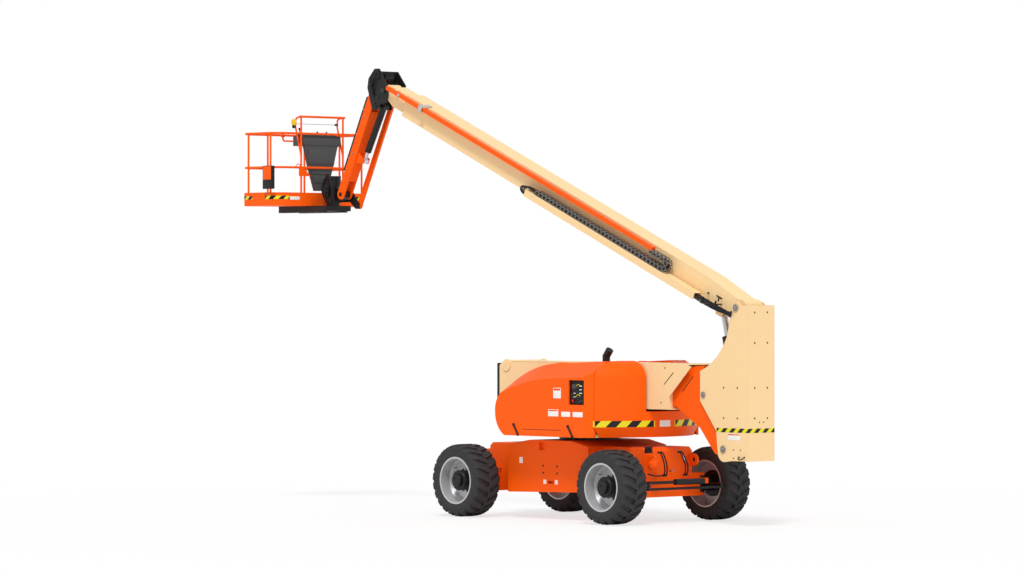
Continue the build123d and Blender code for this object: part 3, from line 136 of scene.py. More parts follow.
# ---- materials -----------------------------------------------------------------------
def surface(name, rgb, rough, metal=0.0, coat=0.0, vary=0.05, patch=1.5, grain=90.0, bump=0.05,
            round_edge=0.004, wear=None, spec=0.3):
    """Procedural finish: broad colour and gloss variation, fine bump, softened edges."""
    mat = bpy.data.materials.new(name)
    mat.use_nodes = True
    tree = mat.node_tree
    shader = tree.nodes["Principled BSDF"]
    shader.inputs["Metallic"].default_value = metal
    shader.inputs["Coat Weight"].default_value = coat
    shader.inputs["Specular IOR Level"].default_value = spec
    shader.inputs["Coat Roughness"].default_value = 0.12
    where = node(tree, "ShaderNodeTexCoord").outputs["Object"]
    broad = node(tree, "ShaderNodeTexNoise", Scale=patch, Detail=5.0, Roughness=0.6)
    fine = node(tree, "ShaderNodeTexNoise", Scale=grain, Detail=3.0, Roughness=0.5)
    tree.links.new(where, broad.inputs["Vector"])
    tree.links.new(where, fine.inputs["Vector"])
    tint = node(tree, "ShaderNodeMix")
    tint.data_type = "RGBA"
    tint.inputs["A"].default_value = [min(1.0, c * (1 - vary)) for c in rgb[:3]] + [1]
    tint.inputs["B"].default_value = [min(1.0, c * (1 + vary)) for c in rgb[:3]] + [1]
    tree.links.new(broad.outputs["Fac"], tint.inputs["Factor"])
    colour = tint.outputs["Result"]
    if wear:
        spots = node(tree, "ShaderNodeTexNoise", Scale=wear[0], Detail=8.0, Roughness=0.7)
        tree.links.new(where, spots.inputs["Vector"])
        mask = node(tree, "ShaderNodeMapRange", From_Min=wear[1], From_Max=wear[1] + 0.06)
        tree.links.new(spots.outputs["Fac"], mask.inputs["Value"])
        worn = node(tree, "ShaderNodeMix")
        worn.data_type = "RGBA"
        tree.links.new(mask.outputs[0], worn.inputs["Factor"])
        tree.links.new(colour, worn.inputs["A"])
        worn.inputs["B"].default_value = wear[2]
        colour = worn.outputs["Result"]
    tree.links.new(colour, shader.inputs["Base Color"])
    gloss = node(tree, "ShaderNodeMapRange", From_Min=0.0, From_Max=1.0, To_Min=max(0.02, rough - 0.05),
                 To_Max=rough + 0.07)
    tree.links.new(broad.outputs["Fac"], gloss.inputs["Value"])
    tree.links.new(gloss.outputs[0], shader.inputs["Roughness"])
    edge = node(tree, "ShaderNodeBevel", Radius=round_edge)
    edge.samples = 4
    relief = node(tree, "ShaderNodeBump", Strength=bump, Distance=0.002)
    tree.links.new(fine.outputs["Fac"], relief.inputs["Height"])
    tree.links.new(edge.outputs["Normal"], relief.inputs["Normal"])
    tree.links.new(relief.outputs["Normal"], shader.inputs["Normal"])
    return mat


ORANGE = surface("paint_orange", srgb(255, 93, 8), 0.42, coat=0.03, vary=0.035, bump=0.02, round_edge=0.006,
                 spec=0.1)
CREAM = surface("paint_cream", srgb(243, 209, 157), 0.42, coat=0.03, vary=0.02, bump=0.02, round_edge=0.006,
                spec=0.1)
BLACK = surface("paint_black", srgb(20, 20, 21), 0.42, coat=0.1, vary=0.2, bump=0.06)
SILVER = surface("paint_silver", srgb(196, 196, 198), 0.46, metal=0.4, vary=0.08, bump=0.08, grain=60)
TYRE = surface("tyre_rubber", srgb(52, 52, 54), 0.78, vary=0.16, patch=6, grain=160, bump=0.25,
               wear=(9, 0.6, srgb(64, 62, 60)))
RUBBER = surface("hose_rubber", srgb(26, 26, 27), 0.55, vary=0.2, patch=8, grain=220, bump=0.2,
                 round_edge=0.001)
GREY = surface("plastic_grey", srgb(74, 74, 76), 0.5, vary=0.08, patch=4, grain=260, bump=0.16,
               round_edge=0.003)
DARK = surface("plastic_black", srgb(22, 22, 23), 0.46, vary=0.12, patch=4, grain=260, bump=0.14,
               round_edge=0.002)
CHROME = surface("chromed_steel", srgb(214, 214, 218), 0.1, metal=1.0, vary=0.03, patch=3, grain=30,
                 bump=0.02, round_edge=0.001)
STEEL = surface("bare_steel", srgb(150, 148, 146), 0.34, metal=0.9, vary=0.12, patch=9, grain=120, bump=0.1,
                round_edge=0.001)
IRON = surface("cast_iron", srgb(70, 70, 72), 0.6, metal=0.4, vary=0.15, patch=5, grain=90, bump=0.3)
LABEL = surface("label_white", srgb(236, 236, 232), 0.4, vary=0.02, patch=20, bump=0.02, round_edge=0.0005)
LINK = surface("chain_link_grey", srgb(104, 103, 101), 0.45, vary=0.1, patch=12, grain=200, bump=0.15,
               round_edge=0.001)
YELLOW = surface("knob_yellow", srgb(236, 196, 20), 0.4, vary=0.05, patch=10, grain=200, bump=0.05,
                 round_edge=0.001)
RED = surface("button_red", srgb(196, 22, 20), 0.35, vary=0.05, patch=10, grain=200, bump=0.05,
              round_edge=0.001)

FINISH = {"orange_paint": ORANGE, "cream_paint": CREAM, "black_paint": BLACK, "silver_paint": SILVER,
          "tyre_rubber": TYRE, "black_rubber": RUBBER, "grey_plastic": GREY, "black_plastic": DARK,
          "chromed_rod": CHROME, "bare_iron": IRON}
for part in frame["record"]["subparts"]:
    for held in frame["nodes"][part["node"]].material_slots:
        held.material = FINISH[part["material_slot"]]
        if part["node"] in ("steer_rod", "tie_rod", "steer_cylinder"):
            held.material = BLACK


def hazard_tape(name, pitch):
    """Yellow and black slanted bars, laid out by the piece's UV map in metres."""
    mat = surface(name, srgb(226, 214, 30), 0.38, vary=0.03, patch=6, bump=0.03, round_edge=0.0005)
    tree = mat.node_tree
    shader = tree.nodes["Principled BSDF"]
    yellow = shader.inputs["Base Color"].links[0].from_socket
    split = node(tree, "ShaderNodeSeparateXYZ")
    tree.links.new(node(tree, "ShaderNodeUVMap").outputs[0], split.inputs[0])
    lean = node(tree, "ShaderNodeMath")
    lean.operation = "SUBTRACT"
    tree.links.new(split.outputs["X"], lean.inputs[0])
    tree.links.new(split.outputs["Y"], lean.inputs[1])
    scaled = node(tree, "ShaderNodeMath")
    scaled.operation = "DIVIDE"
    tree.links.new(lean.outputs[0], scaled.inputs[0])
    scaled.inputs[1].default_value = pitch
    cycle = node(tree, "ShaderNodeMath")
    cycle.operation = "FRACT"
    tree.links.new(scaled.outputs[0], cycle.inputs[0])
    step = node(tree, "ShaderNodeMath")
    step.operation = "GREATER_THAN"
    step.inputs[1].default_value = 0.5
    tree.links.new(cycle.outputs[0], step.inputs[0])
    bars = node(tree, "ShaderNodeMix")
    bars.data_type = "RGBA"
    tree.links.new(step.outputs[0], bars.inputs["Factor"])
    tree.links.new(yellow, bars.inputs["A"])
    bars.inputs["B"].default_value = srgb(20, 20, 20)
    tree.links.new(bars.outputs["Result"], shader.inputs["Base Color"])
    return mat


TAPE = hazard_tape("hazard_tape", 0.30)
TAPE_FINE = hazard_tape("hazard_tape_fine", 0.16)


# ---- shapes ---------------------------------------------------------------------------
class Shape:
    """Collects small solids in one mesh, then becomes a piece that rides on a body."""

    def __init__(self):
        self.bm = bmesh.new()

    def _moved(self, verts, matrix):
        bmesh.ops.transform(self.bm, matrix=matrix, verts=verts)

    def box(self, centre, size, turn=None, bevel=0.003):
        made = bmesh.ops.create_cube(self.bm, size=1.0)["verts"]
        self._moved(made, Matrix.Diagonal((*size, 1)))
        if bevel:
            edges = {e for v in made for e in v.link_edges}
            made = list({v for f in bmesh.ops.bevel(self.bm, geom=list(edges), offset=bevel, segments=2,
                                                    affect="EDGES", profile=0.6)["faces"] for v in f.verts})
        matrix = Matrix.Translation(centre) @ (turn.to_4x4() if turn else Matrix.Identity(4))
        self._moved(made, matrix)
        return self

    def turned(self, start, end, profile, sides=28):
        """A solid turned about the line start-end; profile holds (distance along, radius)."""
        start, end = Vector(start), Vector(end)
        axis = (end - start).normalized()
        across = axis.orthogonal().normalized()
        up = axis.cross(across)
        rings = []
        for along, radius in profile:
            ring = []
            for i in range(sides):
                a = 2 * pi * i / sides
                spoke = across * cos(a) + up * sin(a)
                ring.append(self.bm.verts.new(start + axis * along + spoke * radius))
            rings.append(ring)
        for low, high in zip(rings, rings[1:]):
            for i in range(sides):
                j = (i + 1) % sides
                self.bm.faces.new((low[i], low[j], high[j], high[i]))
        self.bm.faces.new(reversed(rings[0]))
        self.bm.faces.new(rings[-1])
        return self

    def rod(self, start, end, radius, sides=28, edge=0.003):
        size = (Vector(end) - Vector(start)).length
        edge = min(edge, radius * 0.4, size * 0.3)
        return self.turned(start, end, ((0, radius - edge), (edge, radius), (size - edge, radius),
                                        (size, radius - edge)), sides)

    def ring(self, centre, side, profile, sides=64):
        """A ring about the Y axis through centre; profile is a closed loop of (y, radius)."""
        x, y, z = centre
        turns = [2 * pi * i / sides for i in range(sides)]
        rings = [[self.bm.verts.new((x + r * cos(a), y + side * o, z + r * sin(a))) for a in turns]
                 for o, r in profile]
        for low, high in zip(rings, rings[1:] + rings[:1]):
            for i in range(sides):
                j = (i + 1) % sides
                self.bm.faces.new((low[i], low[j], high[j], high[i]))
        return self

    def bolt(self, place, normal, size=0.012, washer=True):
        """Hexagon head on a washer; size is the head's radius."""
        place, normal = Vector(place), Vector(normal).normalized()
        if washer:
            self.rod(place - normal * 0.001, place + normal * 0.003, size * 1.35, 20, 0.001)
        self.turned(place, place + normal, ((0, size), (size * 0.62, size), (size * 0.8, size * 0.84)), 6)
        return self

    def sheet(self, corners, lift):
        """A thin raised panel on four or more flat corners."""
        corners = [Vector(c) for c in corners]
        normal = (corners[1] - corners[0]).cross(corners[2] - corners[0]).normalized()
        low = [self.bm.verts.new(c) for c in corners]
        high = [self.bm.verts.new(c + normal * lift) for c in corners]
        self.bm.faces.new(high)
        self.bm.faces.new(reversed(low))
        for i in range(len(corners)):
            j = (i + 1) % len(corners)
            self.bm.faces.new((low[i], low[j], high[j], high[i]))
        return self

    def done(self, name, body, slot, mat, smooth=35):
        bmesh.ops.recalc_face_normals(self.bm, faces=self.bm.faces)
        mesh = bpy.data.meshes.new(name)
        self.bm.to_mesh(mesh)
        self.bm.free()
        return place_mesh(name, mesh, body, mat, smooth)


def place_mesh(name, mesh, body, mat, smooth=35):
    mesh.materials.append(mat)
    mesh.polygons.foreach_set("use_smooth", [True] * len(mesh.polygons))
    mesh.set_sharp_from_angle(angle=radians(smooth))
    obj = bpy.data.objects.new(name, mesh)
    scene.collection.objects.link(obj)
    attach(obj, body)
    return obj


def hose(name, body, points, radius=0.011, mat=RUBBER):
    """A hose held at both ends, as one smooth curve through control points."""
    data = bpy.data.curves.new(name, "CURVE")
    data.dimensions, data.bevel_depth, data.bevel_resolution, data.resolution_u = "3D", radius, 3, 10
    data.use_fill_caps = True
    line = data.splines.new("NURBS")
    line.points.add(len(points) - 1)
    for point, place in zip(line.points, points):
        point.co = (*place, 1)
    line.order_u = 4
    line.use_endpoint_u = True
    data.materials.append(mat)
    obj = bpy.data.objects.new(name, data)
    scene.collection.objects.link(obj)
    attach(obj, body)
    return obj


def band(name, body, path, low, high, mat, lift=0.0015, thick=0.002):
    """Tape along a level path of (x, y) points, between two heights, on the path's right-hand side."""
    bm = bmesh.new()
    uv = bm.loops.layers.uv.new("tape")
    points = [Vector((x, y, 0)) for x, y in path]
    along, rows = 0.0, []
    for i, point in enumerate(points):
        before, after = points[max(i - 1, 0)], points[min(i + 1, len(points) - 1)]
        run = (after - before).normalized()
        out = Vector((run.y, -run.x, 0))
        if i:
            along += (point - points[i - 1]).length
        outline = ((lift - thick, low), (lift, low), (lift, high), (lift - thick, high))
        rows.append((along, [bm.verts.new(point + out * o + Vector((0, 0, z))) for o, z in outline]))
    for (a0, low_row), (a1, high_row) in zip(rows, rows[1:]):
        for k in range(4):
            m = (k + 1) % 4
            face = bm.faces.new((low_row[k], high_row[k], high_row[m], low_row[m]))
            heights = {0: (0, 0), 1: (0, high - low), 2: (high - low, high - low), 3: (high - low, 0)}[k]
            for loop, (u, v) in zip(face.loops, ((a0, heights[0]), (a1, heights[0]), (a1, heights[1]),
                                                 (a0, heights[1]))):
                loop[uv].uv = (u, v)
    bm.faces.new(rows[0][1])
    bm.faces.new(reversed(rows[-1][1]))
    bmesh.ops.recalc_face_normals(bm, faces=bm.faces)
    mesh = bpy.data.meshes.new(name)
    bm.to_mesh(mesh)
    bm.free()
    return place_mesh(name, mesh, body, mat, 60)


def aim(dx, dz):
    """Turns a box's long side to run along (dx, dz)."""
    return Matrix.Rotation(-math.atan2(dz, dx), 3, "Y")


def plates(name, body, side, face_y, spots, slot="cream_paint", mat=LABEL, thick=0.0022):
    """Thin blank plates on a face across Y; spots hold (x0, x1, z0, z1)."""
    made = Shape()
    for x0, x1, z0, z1 in spots:
        made.box(((x0 + x1) / 2, side * (face_y + thick / 2 - 0.0003), (z0 + z1) / 2),
                 (abs(x1 - x0), thick, z1 - z0), bevel=0.0006)
    return made.done(name, body, slot, mat)


BOOM_ANGLE, JIB_ANGLE = radians(23), radians(-63.3)
BOOM_X, BOOM_Z = -3.206, 3.0          # main boom's pivot in the upright
JIB_X, JIB_Z = 4.62, 6.31             # jib's top pivot in the head


def on_boom(u, v, y):
    """Point u along the main boom from its pivot and v across it."""
    return Vector((BOOM_X + u * cos(BOOM_ANGLE) - v * sin(BOOM_ANGLE), y,
                   BOOM_Z + u * sin(BOOM_ANGLE) + v * cos(BOOM_ANGLE)))


def on_jib(u, v, y):
    """Point u down the jib from its top pivot and v across it, towards the platform."""
    return Vector((JIB_X + u * cos(JIB_ANGLE) - v * sin(JIB_ANGLE), y,
                   JIB_Z + u * sin(JIB_ANGLE) + v * cos(JIB_ANGLE)))


boom_turn = Matrix.Rotation(-BOOM_ANGLE, 3, "Y")
jib_turn = Matrix.Rotation(-JIB_ANGLE, 3, "Y")


# ---- tyres ------------------------------------------------------------------------------
def tyre_mesh(lugs=22, sides=88):
    """Carcass and two rows of slanted lugs, centred on the origin, axle along Y."""
    bm = bmesh.new()
    half = ((0.195, 0.3256), (0.207, 0.333), (0.211, 0.352), (0.2235, 0.385), (0.2245, 0.425),
            (0.217, 0.455), (0.203, 0.478), (0.17, 0.490), (0.09, 0.493))
    profile = [(-y, r) for y, r in half] + [(y, r) for y, r in reversed(half)]
    turns = [2 * pi * i / sides for i in range(sides)]
    rings = [[bm.verts.new((r * cos(a), y, r * sin(a))) for a in turns] for y, r in profile]
    for low, high in zip(rings, rings[1:] + rings[:1]):
        for i in range(sides):
            j = (i + 1) % sides
            bm.faces.new((low[i], low[j], high[j], high[i]))
    # y, tip radius, foot radius, sweep back in degrees, half width in degrees
    stations = ((-0.018, 0.5185, 0.488, 0.0, 3.8), (0.05, 0.5195, 0.488, 3.4, 4.2),
                (0.115, 0.518, 0.486, 7.4, 4.6), (0.165, 0.513, 0.482, 9.8, 4.9),
                (0.2, 0.5005, 0.470, 11.2, 5.0), (0.2185, 0.478, 0.452, 12.0, 4.9),
                (0.2245, 0.448, 0.436, 12.6, 4.3))
    for side in (1, -1):
        for k in range(lugs):
            start = 360 * (k + (0.5 if side < 0 else 0)) / lugs
            rows = []
            for y, tip, foot, sweep, wide in stations:
                row = []
                for r, w in ((foot, wide * 1.13), (tip, wide), (tip, -wide), (foot, -wide * 1.13)):
                    a = radians(start - sweep + w)
                    row.append(bm.verts.new((r * cos(a), side * y, r * sin(a))))
                rows.append(row)
            for low, high in zip(rows, rows[1:]):
                for m in range(3):
                    bm.faces.new((low[m], low[m + 1], high[m + 1], high[m]))
                bm.faces.new((low[3], low[0], high[0], high[3]))
            bm.faces.new(rows[0])
            bm.faces.new(reversed(rows[-1]))
    bmesh.ops.recalc_face_normals(bm, faces=bm.faces)
    mesh = bpy.data.meshes.new("tyre")
    bm.to_mesh(mesh)
    bm.free()
    return mesh


axle_x, wheel_y, wheel_z = 1.525, 0.995, 0.52
hub_face, hub_end = wheel_y + 0.152, wheel_y + 0.192
hub_ring, stud_ring = 0.116, 0.163
wheels = (("steer_left", -axle_x, 1), ("steer_right", -axle_x, -1), ("drive_left", axle_x, 1),
          ("drive_right", axle_x, -1))
for wheel, wheel_x, side in wheels:
    mesh = tyre_mesh()
    mesh.transform(Matrix.Translation((wheel_x, side * wheel_y, wheel_z)))
    tyre = place_mesh("tread_" + wheel, mesh, "wheel_" + wheel, TYRE, 28)
    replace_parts(tyre, "tyre_" + wheel)
    # planetary hub's bolts, the studs that hold the rim, and two plugs
    bits = Shape()
    for k in range(12):
        a = 2 * pi * k / 12
        bits.bolt((wheel_x + hub_ring * cos(a), side * hub_face, wheel_z + hub_ring * sin(a)), (0, side, 0),
                  0.0085, False)
    for k in range(9):
        a = 2 * pi * (k + 0.5) / 9
        x, z = wheel_x + stud_ring * cos(a), wheel_z + stud_ring * sin(a)
        bits.rod((x, side * 0.978, z), (x, side * 1.012, z), 0.0095, 12)
        bits.bolt((x, side * 0.9795, z), (0, side, 0), 0.016)
    for dx, dz, size in ((0.04, 0.025, 0.014), (-0.045, -0.03, 0.011)):
        bits.bolt((wheel_x + dx, side * hub_end, wheel_z + dz), (0, side, 0), size)
    bits.done("wheel_nuts_" + wheel, "wheel_" + wheel, "black_paint", BLACK)
    rings = Shape().ring((wheel_x, side * wheel_y, wheel_z), side,
                         ((0.199, 0.334), (0.2085, 0.338), (0.2085, 0.326), (0.2, 0.318), (0.19, 0.322)))
    rings.done("rim_ring_" + wheel, "wheel_" + wheel, "silver_paint", SILVER)
    valve = Shape().rod((wheel_x + 0.2, side * 1.0, 0.69), (wheel_x + 0.205, side * 1.06, 0.694), 0.006, 12)
    valve.done("valve_stem_" + wheel, "wheel_" + wheel, "black_rubber", RUBBER)


# ---- upright ----------------------------------------------------------------------------
upright_y, upright_back = 0.25, -3.447
band("tape_upright", "upright", ((-2.83, upright_y), (upright_back, upright_y), (upright_back, -upright_y),
                                 (-2.83, -upright_y)), 1.295, 1.353, TAPE_FINE)
plates("label_upright", "upright", 1, upright_y, ((-3.28, -3.05, 1.19, 1.277),))
plates("label_upright_head", "upright", 1, upright_y + 0.0018, ((-3.275, -3.055, 1.258, 1.273),),
       "orange_paint", ORANGE, 0.001)
bits = Shape()
for side in (1, -1):
    for x, z in ((-2.967, 1.905), (-3.232, 1.905), (-2.967, 1.49), (-3.232, 1.49)):
        bits.bolt((x, side * upright_y, z), (0, side, 0), 0.009)
    for x, z in ((-3.157, 1.059), (-3.292, 1.059), (-3.157, 0.945)):
        bits.bolt((x, side * upright_y, z), (0, side, 0), 0.007)
for y in (0.131, -0.111):
    for z in (2.935, 2.52, 1.907, 1.493):
        bits.bolt((upright_back, y, z), (-1, 0, 0), 0.009)
for y in (0.04, -0.04):
    bits.bolt((upright_back, y, 1.438), (-1, 0, 0), 0.007)
bits.done("bolts_upright", "upright", "black_paint", BLACK)
hose("grab_upright", "upright", ((-3.27, 0.249, 0.965), (-3.27, 0.285, 0.955), (-3.29, 0.29, 0.925),
                                 (-3.36, 0.29, 0.925), (-3.375, 0.285, 0.955), (-3.375, 0.249, 0.965)),
     0.008, DARK)
caps = Shape()
for x, z, radius in ((-2.963, 1.062, 0.05), (-2.572, 1.8, 0.042), (BOOM_X, BOOM_Z, 0.05)):
    for side in (1, -1):
        caps.rod((x, side * 0.2595, z), (x, side * 0.268, z), radius, 36)
        caps.bolt((x, side * 0.268, z), (0, side, 0), 0.013)
caps.done("pin_caps_upright", "upright", "bare_iron", STEEL)

# ---- tower boom and its fly ---------------------------------------------------------------
tower_y, tower_fly_y = 0.3, 0.22
Shape().box((-1.935, tower_y + 0.0008, 2.015), (0.255, 0.0026, 0.011), aim(-0.19, 0.17), 0.001).done(
    "slit_tower_boom", "tower_boom", "black_paint", BLACK)
Shape().box((-2.235, tower_fly_y + 0.0008, 1.945), (0.3, 0.0026, 0.011), aim(-0.22, 0.22), 0.001).done(
    "slit_tower_fly", "tower_fly", "black_paint", BLACK)
bits = Shape()
for side in (1, -1):
    for x, z in ((-1.86, 2.16), (-1.78, 1.68), (-0.7, 1.66), (-0.7, 2.14), (0.6, 1.66), (0.6, 2.14)):
        bits.bolt((x, side * tower_y, z), (0, side, 0), 0.008)
bits.done("bolts_tower_boom", "tower_boom", "black_paint", BLACK)

# ---- turntable, hoods, ground controls ------------------------------------------------------
def tail_arc(first, last, radius=1.55, steps=20):
    """Points on the tail's rear face, between two angles in degrees about the swing axis."""
    return [(radius * cos(radians(first + (last - first) * i / steps)),
             radius * sin(radians(first + (last - first) * i / steps))) for i in range(steps + 1)]


tail_low, tail_high = 1.336, 1.424
for name, first, last in (("left", 139.8, 172.4), ("right", 187.6, 220.2)):
    band("tape_tail_" + name, "turntable", tail_arc(first, last), tail_low, tail_high, TAPE)
for name, first, last in (("left_a", 138.9, 139.8), ("left_b", 172.4, 173.1), ("right_a", 186.9, 187.6),
                          ("right_b", 220.2, 221.1)):
    band("tape_end_" + name, "turntable", tail_arc(first, last, steps=3), tail_low, tail_high, YELLOW)
band("label_tail", "turntable", tail_arc(176.3, 183.7, steps=8), tail_low, tail_high, LABEL)
hood_y = 1.13
plates("labels_hood_left", "hood_left", 1, hood_y, (
    (-0.629, -0.474, 1.73, 1.875), (-0.578, -0.368, 1.476, 1.573), (-0.822, -0.64, 1.476, 1.545),
    (-1.077, -0.875, 1.476, 1.545)))
plates("label_marks_hood_left", "hood_left", 1, hood_y + 0.0018, (
    (-0.62, -0.483, 1.838, 1.868), (-0.57, -0.376, 1.548, 1.566)), "orange_paint", ORANGE, 0.001)
plates("labels_hood_right", "hood_right", -1, hood_y, (
    (-0.629, -0.474, 1.73, 1.875), (-0.578, -0.368, 1.476, 1.573)))
for name, side in (("left", 1), ("right", -1)):
    Shape().box((-0.23, side * (hood_y + 0.0002), 1.284), (0.8, 0.0022, 0.007), bevel=0.0006).done(
        "seam_hood_" + name, "hood_" + name, "black_rubber", RUBBER)
    catch = Shape()
    for x, z in ((0.306, 1.276), (-0.825, 1.272)):
        catch.box((x, side * (hood_y + 0.0075), z), (0.2, 0.013, 0.027), aim(0.114, 0.18), 0.005)
        for along in (-0.085, 0.085):
            place = Vector((x, 0, z)) + Vector((0.535, 0, 0.845)) * along
            catch.rod((place.x, side * (hood_y - 0.001), place.z),
                      (place.x, side * (hood_y + 0.023), place.z), 0.019, 20, 0.006)
    catch.done("catches_hood_" + name, "hood_" + name, "black_rubber", RUBBER)

face = 1.097                  # front of the ground controls
Shape().box((-0.932, face + 0.001, 1.815), (0.262, 0.004, 0.31), bevel=0.0015).done(
    "control_face", "turntable", "black_plastic", DARK)
plates("control_screen", "turntable", 1, face + 0.003, ((-0.9, -0.83, 1.87, 1.93),), "grey_plastic", GREY)
plates("control_marks", "turntable", 1, face + 0.003, (
    (-1.03, -0.98, 1.9, 1.912), (-1.03, -0.98, 1.85, 1.862), (-1.03, -0.98, 1.8, 1.812),
    (-0.9, -0.86, 1.8, 1.81), (-0.9, -0.86, 1.75, 1.76)), thick=0.0012)
dial = Shape()
for x, z in ((-0.955, 1.885), (-0.955, 1.745)):
    for i in range(9):
        a = radians(150 - 15 * i)
        dial.box((x + 0.042 * cos(a), face + 0.004, z + 0.042 * sin(a)), (0.013, 0.002, 0.009),
                 Matrix.Rotation(-(a + pi / 2), 3, "Y"), 0.0004)
dial.done("control_dials", "turntable", "cream_paint", YELLOW)
red = Shape().turned((-0.86, face, 1.7), (-0.86, face + 0.03, 1.7), (
    (0.001, 0.012), (0.012, 0.012), (0.013, 0.02), (0.024, 0.02), (0.029, 0.012)), 24)
red.done("control_stop", "turntable", "orange_paint", RED)
knobs = Shape()
for x, z in ((-0.955, 1.885), (-0.955, 1.745), (-1.03, 1.7), (-0.99, 1.69), (-0.84, 1.79), (-0.84, 1.745)):
    knobs.rod((x, face, z), (x, face + 0.017, z), 0.011, 16, 0.002)
knobs.done("control_knobs", "turntable", "grey_plastic", GREY)

# ---- chassis ------------------------------------------------------------------------------
chassis_y, slot_spots = 0.75, ((0.09, 0.15, 0.505, 0.565), (-0.15, -0.09, 0.505, 0.565))
plates("labels_chassis_left", "chassis", 1, chassis_y, (
    *slot_spots, (0.585, 0.655, 0.785, 0.87)))
plates("labels_chassis_right", "chassis", -1, chassis_y, slot_spots)
bits = Shape()
for side in (1, -1):
    for x in (0.155, -0.138):
        for z in (0.758, 0.659):
            bits.bolt((x, side * chassis_y, z), (0, side, 0), 0.011)
bits.done("bolts_chassis", "chassis", "black_paint", BLACK)

# ---- energy chain, hoses and brackets on the main boom ------------------------------------------
hose_radius = 0.0105                  # chain, steered end and rotator
chain_y0, chain_y1, loop_r, loop_u, chain_low = 0.21, 0.32, 0.065, 1.51, 4.33
run_low, run_loop, run_top = chain_low - loop_u, pi * loop_r, 1.828 - loop_u


def chain_at(s):
    """(u, v, direction) at distance s from the chain's fixed end."""
    if s < run_low:
        return chain_low - s, -loop_r, pi
    if s < run_low + run_loop:
        t = (s - run_low) / loop_r
        return loop_u - loop_r * sin(t), -loop_r * cos(t), pi - t
    return loop_u + s - run_low - run_loop, loop_r, 0.0


link_count = 40
chain_length = run_low + run_loop + run_top
pitch = chain_length / link_count
chain = Shape()
for k in range(link_count):
    u, v, heading = chain_at((k + 0.5) * pitch)
    turn = Matrix.Rotation(-(BOOM_ANGLE + heading), 3, "Y")
    centre = on_boom(u, v, 0)
    for y in (chain_y0 + 0.0045, chain_y1 - 0.0045):
        # the two long sides of a link's plate, then its two ends
        for part_u, part_v, long, thick, deep in (
                (0, 0.0275, 0.081, 0.0066, 0.014), (0, -0.0275, 0.081, 0.0066, 0.014),
                (-0.033, 0, 0.016, 0.008, 0.045), (0.031, 0, 0.011, 0.0066, 0.045)):
            place = centre + turn @ Vector((part_u, 0, part_v))
            chain.box((place.x, y, place.z), (long, thick, deep), turn, 0.0016)
    for part_v in (0.031, -0.031):
        place = centre + turn @ Vector((0.0, 0, part_v))
        chain.box((place.x, (chain_y0 + chain_y1) / 2, place.z), (0.024, 0.096, 0.006), turn, 0.0012)
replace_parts(chain.done("energy_chain", "main_boom", "grey_plastic", LINK), "drag_chain")
for k, y in enumerate((0.232, 0.256, 0.281, 0.301)):
    path = [chain_at(0.02 + s * (chain_length - 0.03) / 46)[:2] for s in range(47)]
    hose(f"chain_hose_{k}", "main_boom", [on_boom(u, v, y) for u, v in path], hose_radius)
    drop = 0.012 * k
    hose(f"chain_tail_{k}", "main_boom", [on_boom(u, v, y) for u, v in (
        (4.3, -0.065), (4.42, -0.06), (4.56 + drop, -0.062), (4.63 + drop, -0.1), (4.62 + drop, -0.165),
        (4.53, -0.19), (4.4, -0.182), (4.3, -0.18))], hose_radius)
for k in range(5):
    lift = -0.115 - 0.019 * k
    hose(f"boom_foot_hose_{k}", "main_boom", [on_boom(u, v, y) for u, v, y in (
        (0.8, lift, 0.268), (0.7, lift, 0.27), (0.5, lift, 0.276), (0.28, lift * 0.85 - 0.01, 0.278),
        (0.12, lift * 0.6 - 0.035, 0.278), (0.03, lift * 0.5 - 0.04, 0.278))], 0.0085)
clips = Shape()
for u, v in ((0.62, -0.15), (0.36, -0.105)):
    clips.box(on_boom(u, v, 0.225), (0.03, 0.13, 0.012), boom_turn, 0.003)
    clips.box(on_boom(u, v, 0.286), (0.034, 0.01, 0.1), boom_turn, 0.003)
clips.box(on_boom(0.04, -0.115, 0.278), (0.022, 0.022, 0.09), boom_turn, 0.003)
clips.box(on_boom(0.435, -0.03, 0.166), (0.12, 0.012, 0.016), boom_turn, 0.004)
clips.box(on_boom(0.435, -0.06, 0.166), (0.018, 0.012, 0.06), boom_turn, 0.004)
clips.rod(on_boom(0.65, -0.06, 0.158), on_boom(0.65, -0.06, 0.185), 0.012, 16)
clips.done("hose_clips_boom", "main_boom", "black_paint", BLACK)
guide_u = 7.19
strap = Shape().box(on_boom(guide_u, 0.149, 0.185), (0.08, 0.21, 0.008), boom_turn, 0.002)
strap.box(on_boom(guide_u, 0.1, 0.286), (0.08, 0.008, 0.1), boom_turn, 0.002)
for y in (0.11, 0.15):
    strap.bolt(on_boom(guide_u, 0.153, y), on_boom(0, 1, 0) - on_boom(0, 0, 0), 0.009)
strap.done("guide_strap", "main_boom", "silver_paint", SILVER)
Shape().rod(on_boom(7.75, 0.1, 0.2595), on_boom(7.75, 0.1, 0.268), 0.022, 24).done(
    "push_tube_boss", "main_fly", "silver_paint", SILVER)

